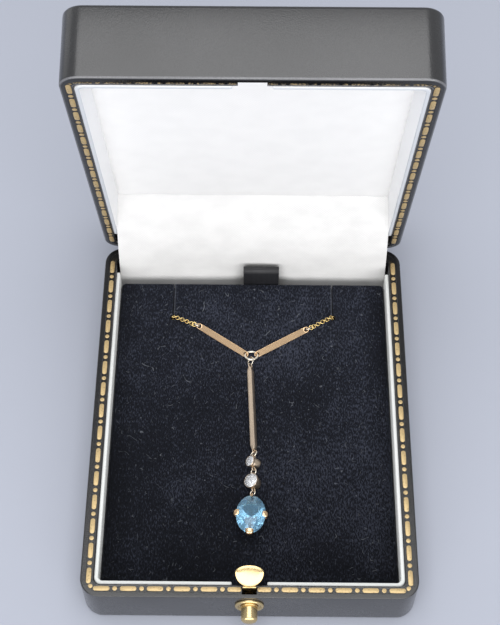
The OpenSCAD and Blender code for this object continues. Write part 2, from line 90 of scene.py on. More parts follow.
# The pad, with the front ends of its two slits.
VELVET_TOP = 9.0
PAD_LOW, PAD_HIGH = (-36.5, -46.5, 2.1), (36.5, 42.4, VELVET_TOP)
PAD_HOLLOW_LOW, PAD_HOLLOW_HIGH = (-35, -45, 1), (35, 40.9, 6.5)
SLIT_LEFT, SLIT_RIGHT, SLIT_END_R, SLIT_HALF = (-21.8, 31.2), (22.2, 31.4), 0.9, 0.14

# Where each lining's rear ends begin and how far they move back, and the lid collar's depth, inside and slant.
BASE_LINING_REAR, BASE_LINING_LONGER, COLLAR_REAR, COLLAR_LONGER = 41, 1.0, 33, 6
COLLAR_DEEP, COLLAR_INSIDE, COLLAR_SLANT = 7.5, 36.8, 1.3

# The satin's line over the hinge as y and z, its width, how much it narrows up to where, and its thickness.
COVER_LINE = (
    (45.7, 3), (45.6, 7), (45.45, 11), (45.3, 15), (45.5, 20), (46.6, 26), (48.5, 33), (50.6, 38.6), (52.4, 43.5))
COVER_W, COVER_NARROWS, COVER_EVEN_FROM, COVER_BACK, COVER_T = 74.6, 2.1, 0.62, 0.25, 0.3

# The catch: its shield's half width, lengths up and down, middle, place and slope, then its stem and neck.
SHIELD_HALF, SHIELD_UP, SHIELD_DOWN, SHIELD_MIDDLE = 3.45, 1.75, 3.6, 4.85
SHIELD_AT, SHIELD_SLOPE = (0, -49.65, 14.15), 40
STEM = ((-1.6, -49.0, 6.2), (1.6, -48.45, 14.85))
NECK = ((-1.25, -48.72, 14.5), (1.25, -48.1, 15.25))

# The button's plate and the button, as radius and height from their seats, and where they sit.
PLATE = (
    (2.1, 0), (3.5, 0), (3.55, 0.08), (3.55, 0.3), (3.45, 0.5), (3.25, 0.62), (3.0, 0.65), (2.8, 0.6),
    (2.68, 0.45), (2.62, 0.33), (2.5, 0.3), (2.3, 0.33), (2.18, 0.3), (2.1, 0.2))
BUTTON = (
    (0, -1), (1, -1), (1, 0), (2, 0), (2, 0.5), (1.93, 0.58), (1.93, 0.7), (2, 0.78), (2, 3.5),
    (1.9, 3.82), (1.66, 4.1), (1.3, 4.3), (0.8, 4.44), (0.3, 4.5), (0, 4.5))
PLATE_Y, BUTTON_Y = -51.05, -51.1

# The lid's cushion, with how far the simulation may swell it.
CUSHION_HALF, CUSHION_FRONT, CUSHION_REAR = 36.4, -46.2, 27.5
CUSHION_LOW, CUSHION_HIGH = HINGE.z + 5.2, LID_TOP - 3.1
SWELL, MOST_SWELL = 0.35, 0.9

# The necklace's places, the same as those of the source's solids.
RING_AT, RING_R, RING_WIRE, RING_TILT = Vector((-0.1, 18.5, 9.87)), 1.68, 0.33, 21
HOLE_UP = 0.6
HOLE_OUT = math.sqrt(RING_R**2 - (HOLE_UP / math.cos(math.radians(RING_TILT))) ** 2)
INNER_Z = RING_AT.z - HOLE_UP * math.tan(math.radians(RING_TILT))
OUTER_Z = 9.8
LEFT_HOLE = Vector((RING_AT.x - HOLE_OUT, RING_AT.y + HOLE_UP, INNER_Z))
RIGHT_HOLE = Vector((RING_AT.x + HOLE_OUT, RING_AT.y + HOLE_UP, INNER_Z))
BAR_SPAN, BAR_W, BAR_T, BAR_HOLE = 15.4, 1.6, 0.3, 0.55
BAR_RISE = math.degrees(math.asin((OUTER_Z - INNER_Z) / BAR_SPAN))

# Each side's name, sign, inner hole, turn and roll of its bar, lean of its ring, turn of its chain, and slit.
SIDES = (
    ("left", -1, LEFT_HOLE, 145.6, -31, 48, 161, SLIT_LEFT),
    ("right", 1, RIGHT_HOLE, 30.6, 34, -48, 27.5, SLIT_RIGHT),
)

# Rings, the drop and the stones.
JUMP_R, JUMP_WIRE, FIRST_R, FIRST_WIRE, DROP_WIRE = 0.74, 0.17, 0.56, 0.13, 0.16
CENTRE_JUMP_AT, CENTRE_JUMP_R = (-0.28, 16.55, 10.2), 1.15
CHAIN_Z, CLASP_Y, CLASP_Z = 9.62, 25, 3.05
DROP_TURN, DROP_HALF_W, DROP_TAPER, EYE_R, EYE_WIRE = 43, 0.675, 1.2, 0.5, 0.16
DROP_X, DROP_TOP, DROP_BOTTOM, DROP_Z = (-0.35, 0.79), 14.75, -9.75, 10.05
TOP_EYE, FOOT_EYE_OUT, COLLET_H, COLLET_EYE_OUT = (0.5, 0.62, 0.17), 0.45, 2.9, 0.42
BLUE_AT, BLUE_TURN, BLUE_EYE = Vector((0.15, -28.9, 12.6)), -3.5, Vector((0.42, -23.25, 11))
BLUE_HALF_W, BLUE_HALF_L = 3.7, 5.05

# Each collet's name, middle, tilt, and front and back radius.
COLLETS = (
    ("small", Vector((0.74, -13.9, 10.97)), 46, 1.45, 1.2),
    ("large", Vector((0.77, -19.5, 11.06)), 30, 1.93, 1.4),
)

# The hidden run of the left half of the chain. The right half is its mirror, with its first bend moved in.
LEFT_RUN = (
    (-22.6, 31.2, 3.6), (-26, 29.5, 2.8), (-30.5, 25, 2.8), (-32, 16, 2.8), (-32, 4, 2.8), (-32, -8, 2.8),
    (-32, -20, 2.8), (-31.5, -31, 2.8), (-27.5, -39, 2.8), (-19, -42.5, 2.8), (-10.5, -40, 2.8),
    (-7, -31.5, 2.8), (-7, -20, 2.8), (-7, -8, 2.8), (-7, 4, 2.8), (-7, 14, 2.8), (-6.6, 20.5, 2.8),
    (-3.9, 24.8, 2.9),
)
RIGHT_BEND = (23.0, 26.2)

# Main facets round a stone, half its girdle as a share of its radius, and the slopes of its other facets.
FOLD, GIRDLE = 8, 0.02
STAR_SLOPE, UPPER_SLOPE, LOWER_SLOPE = 0.6, 1.24, 1.07

# The stage, in metres: each light's name, place, aim, width, height and power, then the camera.
LIGHTS = (
    ("light_over", (0, -0.135, 1.2), (0, 0.0, 0.05), 1.1, 1.33, 11.4),
    ("light_front", (0.1, -2.33, 0.66), (0, 0.03, 0.06), 4.8, 2.0, 88),
    ("light_side", (-0.75, 0.5, 0.3), (0, 0, 0.03), 0.5, 0.5, 0.4),
)
WORLD_COLOUR, WORLD_STRENGTH = (0.88, 0.9, 0.94, 1), 0.52
CAMERA_AT, CAMERA_DOWN, CAMERA_TURN, LENS = (0.00122, -0.1657, 0.3223), 57.635, 0.528, 77.43


# Placing and selecting


def shift(x, y, z):
    return Matrix.Translation((x, y, z))


def spin(angle, axis):
    return Matrix.Rotation(math.radians(angle), 4, axis)


def turn(x, y, z):
    """Turns about X, then Y, then Z, in degrees."""
    return spin(z, "Z") @ spin(y, "Y") @ spin(x, "X")


def opened():
    """Takes what is modelled with the lid closed to the open lid's place."""
    return Matrix.Translation(HINGE) @ spin(-OPEN_ANGLE, "X") @ Matrix.Translation(-HINGE)


def clear():
    if bpy.context.object and bpy.context.object.mode != "OBJECT":
        leave()
    bpy.ops.object.select_all(action="DESELECT")


def take(*objects):
    clear()
    for o in objects:
        o.select_set(True)
    bpy.context.view_layer.objects.active = objects[0]
    return objects[0]


def edit(obj):
    """Opens a mesh in edit mode, with all of it selected."""
    take(obj)
    bpy.ops.object.mode_set(mode="EDIT")
    everything()


def leave():
    bpy.ops.object.mode_set(mode="OBJECT")


def everything():
    bpy.ops.mesh.select_all(action="SELECT")


def pick(kind, test):
    """Selects exactly the vertices, edges or faces that pass the test, in edit mode."""
    bpy.ops.mesh.select_mode(type=kind)
    bpy.ops.mesh.select_all(action="DESELECT")
    data = bpy.context.object.data
    mesh = bmesh.from_edit_mesh(data)
    for e in {"VERT": mesh.verts, "EDGE": mesh.edges, "FACE": mesh.faces}[kind]:
        if test(e):
            e.select_set(True)
    mesh.select_flush_mode()
    bmesh.update_edit_mesh(data)


def upright(e):
    return abs(e.verts[0].co.z - e.verts[1].co.z) > 1


def above(z):
    return lambda e: all(v.co.z > z for v in e.verts)


def below(z):
    return lambda e: all(v.co.z < z for v in e.verts)


def rounded(test, width, segments):
    pick("EDGE", test)
    bpy.ops.mesh.bevel(offset=width, segments=segments)


def inset(thickness, depth):
    bpy.ops.mesh.inset(thickness=thickness, depth=depth)


def middle(e):
    return sum((v.co for v in e.verts), Vector()) / len(e.verts)


def extrude(x, y, z):
    bpy.ops.mesh.extrude_region_move(TRANSFORM_OT_translate={"value": (x, y, z)})


def stretch(x, y, z, about=(0, 0, 0)):
    bpy.ops.transform.resize(value=(x, y, z), center_override=about)


def apply():
    bpy.ops.object.transform_apply(location=True, rotation=True, scale=True)


def baked(obj, at):
    """Moves a shape by a matrix, in its mesh."""
    take(obj)
    obj.matrix_world = at
    apply()
    return obj


def duplicate(obj):
    """A copy with its own mesh."""
    one = obj.copy()
    one.data = obj.data.copy()
    bpy.context.collection.objects.link(one)
    return one


def join(name, *objects):
    obj = take(*objects)
    if len(objects) > 1:
        bpy.ops.object.join()
    obj.name = obj.data.name = name
    return obj


def modify(obj, kind, **settings):
    take(obj)
    m = obj.modifiers.new(kind.title(), kind)
    for key, value in settings.items():
        setattr(m, key, value)
    bpy.ops.object.modifier_apply(modifier=m.name)
    return obj


def soften(obj, width, segments, angle=35):
    return modify(
        obj, "BEVEL", width=width, segments=segments, limit_method="ANGLE", angle_limit=math.radians(angle))


def smooth(obj, angle=35):
    take(obj)
    bpy.ops.object.shade_smooth_by_angle(angle=math.radians(angle))
    return obj


def cut(obj, *cutters):
    for c in cutters:
        modify(obj, "BOOLEAN", operation="DIFFERENCE", solver="EXACT", object=c)
        bpy.data.objects.remove(c)
    return obj


def outward(obj):
    """Merges doubled points and turns every face outwards."""
    edit(obj)
    bpy.ops.mesh.remove_doubles(threshold=0.0005)
    bpy.ops.mesh.normals_make_consistent(inside=False)
    leave()
    return obj


def piece(obj, name, finish, node=None, at=None, body="case"):
    """Puts a finished shape in its place and in metres, ties it to its material and body, and hides the CAD node it
    replaces.
    """
    baked(obj, Matrix.Scale(0.001, 4) @ (at or Matrix.Identity(4)))
    obj.name = obj.data.name = name
    obj.data.materials.clear()
    obj.data.materials.append(FINISHES[finish])
    if body:
        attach(obj, body)
    if node:
        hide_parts(node)
    return obj


# Basic shapes


def block(low, high):
    size = [h - l for l, h in zip(low, high)]
    bpy.ops.mesh.primitive_cube_add(size=1, location=[(l + h) / 2 for l, h in zip(low, high)], scale=size)
    apply()
    return bpy.context.object


def rod(r, length, at):
    """A straight cylinder along X, about the given middle."""
    bpy.ops.mesh.primitive_cylinder_add(
        vertices=32, radius=r, depth=length, location=at, rotation=(0, math.pi / 2, 0))
    apply()
    return bpy.context.object


def turned(name, profile, steps):
    """Spins a closed profile of radius and height points round Z."""
    mesh = bpy.data.meshes.new(name)
    count = len(profile)
    mesh.from_pydata([(r, 0, z) for r, z in profile], [(i, (i + 1) % count) for i in range(count)], [])
    obj = bpy.data.objects.new(name, mesh)
    bpy.context.collection.objects.link(obj)
    edit(obj)
    bpy.ops.mesh.spin(steps=steps, angle=2 * math.pi, center=(0, 0, 0), axis=(0, 0, 1))
    leave()
    return outward(obj)


def wire_ring(radius, wire_r, steps=40, sides=12, split=6):
    """A jump ring of round wire, bent nearly closed, with its two cut ends meeting."""
    bpy.ops.mesh.primitive_circle_add(
        vertices=sides, radius=wire_r, fill_type="NGON", location=(radius, 0, 0), rotation=(math.pi / 2, 0, 0))
    apply()
    obj = bpy.context.object
    obj.name = "ring"
    edit(obj)
    bpy.ops.mesh.spin(steps=steps, angle=math.radians(360 - split), center=(0, 0, 0), axis=(0, 0, 1))
    pick("FACE", lambda f: len(f.verts) > 4)
    inset(wire_r * 0.2, wire_r * 0.12)
    leave()
    return smooth(outward(obj), 40)


def wire(name, points, radii, closed=False, sides=4):
    """Round wire along a smooth line, as thick at each point as its radius says."""
    curve = bpy.data.curves.new(name, "CURVE")
    curve.dimensions = "3D"
    curve.bevel_depth = 1
    curve.bevel_resolution = sides
    curve.use_fill_caps = not closed
    line = curve.splines.new("NURBS")
    line.points.add(len(points) - 1)
    for p, at, r in zip(line.points, points, radii):
        p.co = (*at, 1)
        p.radius = r
    line.order_u = 3
    line.resolution_u = 8
    line.use_endpoint_u = not closed
    line.use_cyclic_u = closed
    obj = bpy.data.objects.new(name, curve)
    bpy.context.collection.objects.link(obj)
    take(obj)
    bpy.ops.object.convert(target="MESH")
    return smooth(outward(bpy.context.object), 50)


def refined(node, width, segments=2):
    """A merged copy of a CAD node, in millimetres, with its hard edges softened."""
    obj = duplicate(NODES[node])
    for key in list(obj.keys()):
        del obj[key]
    obj.parent = None
    obj.data.materials.clear()
    baked(obj, Matrix.Scale(1000, 4))
    edit(obj)
    bpy.ops.mesh.remove_doubles(threshold=0.0005)
    bpy.ops.mesh.dissolve_limited(angle_limit=math.radians(1))
    leave()
    if width:
        soften(obj, width, segments, 30)
    return smooth(obj, 35)


def along(points, t):
    """A point on the smooth line through the points, t from 0 to 1."""
    points = [Vector(p) for p in points]
    last = len(points) - 1
    i = min(int(t * last), last - 1)
    f = t * last - i
    a, b, c, d = (points[max(0, min(last, k))] for k in (i - 1, i, i + 1, i + 2))
    return 0.5 * (2 * b + (c - a) * f + (2 * a - 5 * b + 4 * c - d) * f * f + (3 * b - a - 3 * c + d) * f**3)


def ahead(p, heading, far):
    a = math.radians(heading)
    return Vector((p[0] + far * math.cos(a), p[1] + far * math.sin(a), p[2]))


# Nodes


def put(tree, kind, inputs=None, **settings):
    """Adds a node with the given settings, and links or sets its inputs, named by number or label."""
    node = tree.nodes.new("ShaderNode" + kind)
    for key, value in settings.items():
        setattr(node, key, value)
    for key, value in (inputs or {}).items():
        if isinstance(value, bpy.types.NodeSocket):
            tree.links.new(value, node.inputs[key])
        else:
            node.inputs[key].default_value = value
    return node


def calc(tree, operation, *values):
    return put(tree, "Math", dict(enumerate(values)), operation=operation).outputs[0]


def noise(tree, where, scale, detail=2.0, roughness=0.5):
    inputs = {"Vector": where, "Scale": scale, "Detail": detail, "Roughness": roughness}
    return put(tree, "TexNoise", inputs).outputs["Fac"]


def remap(tree, value, low, high, out_low, out_high):
    return put(tree, "MapRange", dict(enumerate((value, low, high, out_low, out_high)))).outputs[0]


def mix(tree, factor, a, b, kind="RGBA"):
    return put(tree, "Mix", {"Factor": factor, "A": a, "B": b}, data_type=kind).outputs["Result"]


def scaled(tree, colour, factor):
    return put(tree, "VectorMath", {0: colour, "Scale": factor}, operation="SCALE").outputs[0]


def face_tone(tree, name):
    """A face attribute's value, for shaders that tell faces apart."""
    return put(tree, "Attribute", attribute_name=name).outputs["Fac"]


def ramp(tree, value, *stops):
    node = put(tree, "ValToRGB", {0: value})
    node.color_ramp.elements[0].position = stops[0][0]
    node.color_ramp.elements[1].position = stops[-1][0]
    for at, _ in stops[1:-1]:
        node.color_ramp.elements.new(at)
    for element, (_, colour) in zip(node.color_ramp.elements, stops):
        element.color = (*colour, 1)
    return node.outputs["Color"]


class Group:
    """Builds one shader group that takes a vector and named numbers and puts out named numbers."""

    def __init__(self, name, inputs, outputs):
        self.tree = bpy.data.node_groups.new(name, "ShaderNodeTree")
        face = self.tree.interface
        face.new_socket(name="Vector", in_out="INPUT", socket_type="NodeSocketVector")
        for label, default in inputs.items():
            face.new_socket(name=label, in_out="INPUT", socket_type="NodeSocketFloat").default_value = default
        for label in outputs:
            face.new_socket(name=label, in_out="OUTPUT", socket_type="NodeSocketFloat")
        self.given = self.tree.nodes.new("NodeGroupInput").outputs
        self.target = self.tree.nodes.new("NodeGroupOutput")

    def out(self, label, value):
        self.tree.links.new(value, self.target.inputs[label])


def grain_group():
    """Fine pressed leatherette grain: small rounded pebbles with creases between them."""
    g = Group("Leatherette Grain", {"Pebbles per Metre": 2200.0}, ("Height", "Crease"))
    t, where = g.tree, g.given["Vector"]
    warp = put(t, "TexNoise", {"Vector": where, "Scale": 900.0, "Detail": 2.0})
    inputs = {0: warp.outputs["Color"], 1: (0.0005, 0.0005, 0.0005), 2: where}
    moved = put(t, "VectorMath", inputs, operation="MULTIPLY_ADD").outputs[0]
    cells = put(t, "TexVoronoi", {"Vector": moved, "Scale": g.given["Pebbles per Metre"]}, feature="F1")
    dome = remap(t, cells.outputs["Distance"], 0.1, 0.75, 1.0, 0.0)
    g.out("Height", calc(t, "MULTIPLY_ADD", noise(t, where, 6000.0), 0.35, dome))
    g.out("Crease", remap(t, cells.outputs["Distance"], 0.45, 0.8, 0.0, 1.0))
    return t


def weave_group():
    """Crossing threads along two axes of the given vector."""
    inputs = {"Warp per Metre": 9000.0, "Weft per Metre": 7000.0, "Warp Share": 0.7}
    g = Group("Thread Weave", inputs, ("Height", "Tone"))
    t, where = g.tree, g.given["Vector"]
    parts = put(t, "SeparateXYZ", {0: where})
    warp, weft = (
        calc(t, "SINE", calc(t, "MULTIPLY", calc(t, "MULTIPLY", parts.outputs[axis], g.given[label]), 2 * math.pi))
        for axis, label in ((0, "Warp per Metre"), (1, "Weft per Metre")))
    g.out("Height", remap(t, mix(t, g.given["Warp Share"], weft, warp, "FLOAT"), -1.0, 1.0, 0.0, 1.0))
    g.out("Tone", noise(t, where, 120.0, 3.0))
    return t


def polish_group():
    """Worn polish: faint scratches and clouds that change the roughness and the tone."""
    g = Group("Worn Polish", {"Smooth": 0.12, "Dull": 0.3}, ("Roughness", "Tone", "Height"))
    t, where = g.tree, g.given["Vector"]
    lines = noise(t, put(t, "Mapping", {"Vector": where, "Scale": (1.0, 4.0, 2.0)}).outputs[0], 700.0)
    cloud = noise(t, where, 180.0)
    share = remap(t, calc(t, "MULTIPLY", lines, cloud), 0.1, 0.6, 0.0, 1.0)
    g.out("Roughness", mix(t, share, g.given["Smooth"], g.given["Dull"], "FLOAT"))
    g.out("Tone", cloud)
    g.out("Height", lines)
    return t


def lint_group():
    """Short loose curling fibres and specks scattered over a pile."""
    g = Group("Scattered Lint", {"Curls per Metre": 260.0}, ("Mask",))
    t, where = g.tree, g.given["Vector"]
    marks = []
    for offset, finer in ((0.0, 1.0), (0.37, 1.5)):
        moved = put(t, "VectorMath", {0: where, 1: (offset, offset * 2, offset)}, operation="ADD").outputs[0]
        rate = calc(t, "MULTIPLY", g.given["Curls per Metre"], finer)
        off = calc(t, "ABSOLUTE", calc(t, "SUBTRACT", noise(t, moved, rate, 1.0), 0.5))
        patch = noise(t, moved, calc(t, "MULTIPLY", rate, 1.9), 0.0)
        line, part = remap(t, off, 0.004, 0.012, 1.0, 0.0), remap(t, patch, 0.7, 0.76, 0.0, 1.0)
        marks.append(calc(t, "MULTIPLY", line, part))
    dots = put(t, "TexVoronoi", {"Vector": where, "Scale": 520.0}, feature="F1")
    rare = put(t, "SeparateColor", {0: dots.outputs["Color"]})
    chosen = calc(t, "GREATER_THAN", rare.outputs[0], 0.86)
    specks = calc(t, "MULTIPLY", remap(t, dots.outputs["Distance"], 0.05, 0.12, 1.0, 0.0), chosen)
    g.out("Mask", calc(t, "MAXIMUM", calc(t, "MAXIMUM", *marks), specks))
    return t


# Materials


def begin(name, colour, roughness, metallic=0.0, **sockets):
    """A material with its principled shader and the object's coordinates ready."""
    material = bpy.data.materials.new(name)
    material.use_nodes = True
    tree = material.node_tree
    shader = tree.nodes["Principled BSDF"]
    shader.inputs["Base Color"].default_value = (*colour, 1)
    shader.inputs["Roughness"].default_value = roughness
    shader.inputs["Metallic"].default_value = metallic
    for label, value in sockets.items():
        shader.inputs[label.replace("_", " ")].default_value = value
    where = tree.nodes.new("ShaderNodeTexCoord").outputs["Object"]
    return material, tree, shader, where


def use(tree, group, **inputs):
    node = tree.nodes.new("ShaderNodeGroup")
    node.node_tree = group
    for label, value in inputs.items():
        label = label.replace("_", " ")
        if isinstance(value, bpy.types.NodeSocket):
            tree.links.new(value, node.inputs[label])
        else:
            node.inputs[label].default_value = value
    return node


def feed(tree, shader, **sockets):
    for label, value in sockets.items():
        tree.links.new(value, shader.inputs[label.replace("_", " ")])


def bump(tree, shader, height, strength, distance):
    node = put(tree, "Bump", {"Height": height, "Strength": strength, "Distance": distance})
    feed(tree, shader, Normal=node.outputs[0])


def leatherette(name, groups, colour, light):
    """Pressed covering. Faces with a rim_tone of 1 are smooth and painted dark, as painted shade, and those with -1
    are painted six times paler, as a painted highlight.
    """
    m, tree, shader, where = begin(
        name, colour, 0.28, Specular_IOR_Level=0.55, Coat_Weight=0.45, Coat_Roughness=0.16)
    grain = use(tree, groups["grain"], Vector=where, Pebbles_per_Metre=3000.0)
    mottled = calc(tree, "MULTIPLY_ADD", grain.outputs["Crease"], -0.35, noise(tree, where, 60.0, 4.0))
    mask = face_tone(tree, "rim_tone")
    # Painted highlight: the lid's front edge, marked -1, is made six times paler. Painted shade: the rims, marked 1,
    # are made darker.
    pale, dark = remap(tree, mask, -1.0, 0.0, 6.0, 1.0), remap(tree, mask, 0.0, 1.0, 1.0, 0.3)
    tone = scaled(tree, ramp(tree, mottled, (0.2, colour), (0.75, light)), calc(tree, "MULTIPLY", pale, dark))
    rough, rubbed = remap(tree, mottled, 0.1, 0.8, 0.32, 0.24), remap(tree, mask, 0.0, 1.0, 1.0, 0.5)
    feed(tree, shader, Base_Color=tone, Roughness=calc(tree, "MULTIPLY", rough, rubbed),
         Coat_Weight=remap(tree, mask, 0.0, 1.0, 0.45, 0.05))
    bump(tree, shader, grain.outputs["Height"], 0.16, 0.0001)
    return m


def precious(name, groups, colour, low, high, tint=0.08):
    """Polished metal with faint wear, its roughness from low to high."""
    m, tree, shader, where = begin(name, colour, low, 1.0)
    wear_and_highlight = use(tree, groups["polish"], Vector=where, Smooth=low, Dull=high)
    dark = [c * (1 - tint) for c in colour]
    feed(tree, shader, Base_Color=ramp(tree, wear_and_highlight.outputs["Tone"], (0.35, dark), (0.65, colour)),
         Roughness=wear_and_highlight.outputs["Roughness"])
    bump(tree, shader, wear_and_highlight.outputs["Height"], 0.01, 0.00001)
    return m


def foil(name, colour):
    """Stamped gold foil, a little rubbed. Where rim_tone is 1, along the lid's front, it is mostly dark."""
    m, tree, shader, where = begin(name, colour, 0.4, 0.4)
    spots = noise(tree, where, 2600.0, 5.0)
    gold = ramp(tree, spots, (0.3, [c * 0.5 for c in colour]), (0.42, colour))
    darkened_foil = ramp(tree, spots, (0.45, (0.02, 0.02, 0.022)), (0.66, colour))
    feed(tree, shader, Base_Color=mix(tree, face_tone(tree, "rim_tone"), gold, darkened_foil),
         Roughness=remap(tree, spots, 0.3, 0.6, 0.55, 0.3))
    bump(tree, shader, spots, 0.25, 0.00006)
    return m


def velvet(name, groups, colour, light):
    """Brushed pile with lint and the lips of the slits, painted paler to the rear as painted light and painted darker
    along the sides as painted shade.
    """
    m, tree, shader, where = begin(
        name, colour, 0.95, Sheen_Weight=0.18, Sheen_Roughness=0.4, Specular_IOR_Level=0.1)
    shader.inputs["Sheen Tint"].default_value = (0.75, 0.78, 0.9, 1)
    brushed = put(tree, "Mapping", {"Vector": where, "Scale": (1.5, 0.55, 1.0)}).outputs[0]
    pile, tuft = noise(tree, brushed, 2100.0, 2.0, 0.6), noise(tree, brushed, 420.0, 3.0, 0.6)
    rough = calc(tree, "MULTIPLY_ADD", tuft, 0.15, pile)
    tone = calc(tree, "MULTIPLY_ADD", noise(tree, where, 40.0, 4.0, 0.6), 0.5, rough)
    base = ramp(
        tree, tone, (0.65, [c * 0.7 for c in colour]), (0.85, [c * 1.2 for c in colour]), (1.0, light))
    parts = put(tree, "SeparateXYZ", {0: where})
    slit_middle, slit_out, slit_width = 0.0002, 0.0217, 0.0004
    out = calc(tree, "ABSOLUTE", calc(tree, "SUBTRACT", parts.outputs["X"], slit_middle))
    near = calc(tree, "ABSOLUTE", calc(tree, "SUBTRACT", out, slit_out))
    behind = remap(tree, parts.outputs["Y"], 0.031, 0.032, 0.0, 1.0)
    lips = calc(tree, "MULTIPLY", remap(tree, near, 0.0, slit_width, 0.1, 0.0), behind)
    fibre = use(tree, groups["lint"], Vector=brushed, Curls_per_Metre=430.0)
    lint = use(tree, groups["lint"], Vector=where)
    marks = calc(tree, "MULTIPLY_ADD", fibre.outputs["Mask"], 0.2, lips)
    marks = calc(tree, "MULTIPLY_ADD", lint.outputs["Mask"], 0.3, marks)
    marked = mix(tree, marks, base, (0.16, 0.17, 0.19, 1))
    # Painted light: the pile is painted brighter towards the rear, near the lid.
    painted_rear_light = remap(tree, parts.outputs["Y"], -0.04, 0.03, 0.95, 2.2)
    # Painted shade: the pile is painted darker along its sides, beside the lining.
    side = remap(tree, out, 0.03, 0.0365, 1.0, 0.55)
    feed(tree, shader, Base_Color=scaled(tree, marked, calc(tree, "MULTIPLY", painted_rear_light, side)))
    bump(tree, shader, rough, 0.5, 0.0003)
    return m


def cloth(name, groups, colour, shade, threads, share, roughness, strength, edge=None, slanted=True, **sockets):
    """Woven cloth, with slanted threads or straight ones. The faces with a rim_tone of 1 take the edge colour, a
    painted shade.
    """
    m, tree, shader, where = begin(name, colour, roughness, **sockets)
    if slanted:
        x, y, z = put(tree, "SeparateXYZ", {0: where}).outputs
        rise = calc(tree, "ADD", y, z)
        crossed = {0: calc(tree, "ADD", x, rise), 1: calc(tree, "SUBTRACT", x, rise), 2: z}
        where = put(tree, "CombineXYZ", crossed).outputs[0]
    weave = use(
        tree, groups["weave"], Vector=where, Warp_per_Metre=threads[0], Weft_per_Metre=threads[1], Warp_Share=share)
    mottled = calc(tree, "MULTIPLY_ADD", weave.outputs["Height"], 0.4, weave.outputs["Tone"])
    tone = ramp(tree, mottled, (0.5, shade), (0.85, colour))
    if edge:
        tone = mix(tree, face_tone(tree, "rim_tone"), tone, (*edge, 1))
    rough = remap(tree, weave.outputs["Tone"], 0.3, 0.7, roughness + 0.06, roughness - 0.04)
    feed(tree, shader, Base_Color=tone, Roughness=rough)
    bump(tree, shader, weave.outputs["Height"], strength, 0.00006)
    return m


def gem(name, colour, deep, ior, clearness):
    """Clear stone whose facets are painted lighter and darker one by one, as painted glints and painted shade."""
    m, tree, shader, _ = begin(name, colour, 0.01, IOR=ior, Transmission_Weight=clearness)
    feed(tree, shader, Base_Color=ramp(tree, face_tone(tree, "painted_facet_glint"), (0.0, deep), (1.0, colour)))
    return m


# Settings that a user may change


def colour_setting(name, description, default):
    return bpy.props.FloatVectorProperty(
        name=name, description=description, subtype="COLOR", default=default, min=0, max=1)


def size_setting(name, description, default, low, high):
    return bpy.props.FloatProperty(
        name=name, description=description + ", in millimetres", default=default, min=low, max=high)


class CaseSettings(bpy.types.PropertyGroup):
    leather_colour: colour_setting("Leatherette", "Colour of the box's covering", (0.018, 0.018, 0.019))
    satin_colour: colour_setting("Satin", "Colour of the lid's satin", (0.9, 0.89, 0.875))
    velvet_colour: colour_setting("Velvet", "Colour of the pad's velvet", (0.0039, 0.0045, 0.0068))
    foil_colour: colour_setting("Foil", "Colour of the gold tooling", (0.55, 0.405, 0.2))
    dash_length: size_setting("Dash Length", "Length of one dash of the tooling", 4.0, 1, 6)
    dash_width: size_setting("Dash Width", "Width of the tooling", 1.2, 0.5, 2)


class NecklaceSettings(bpy.types.PropertyGroup):
    rose_colour: colour_setting("Rose Gold", "Colour of the bars and the settings", (0.82, 0.57, 0.345))
    yellow_colour: colour_setting("Yellow Gold", "Colour of the chain", (0.95, 0.72, 0.32))
    pale_colour: colour_setting("Pale Gold", "Colour of the rings", (0.88, 0.8, 0.67))
    stone_colour: colour_setting("Blue Stone", "Colour of the oval stone", (0.31, 0.64, 0.9))
    link_radius: size_setting(
        "Link Radius", "Radius of a chain link to the middle of its wire", 0.53, 0.4, 0.6)
    link_wire: size_setting("Link Wire", "Radius of the wire of a chain link", 0.1, 0.08, 0.14)
    link_pitch: size_setting("Link Pitch", "Distance from one link to the next", 0.72, 0.6, 0.75)


FINISHES = {}


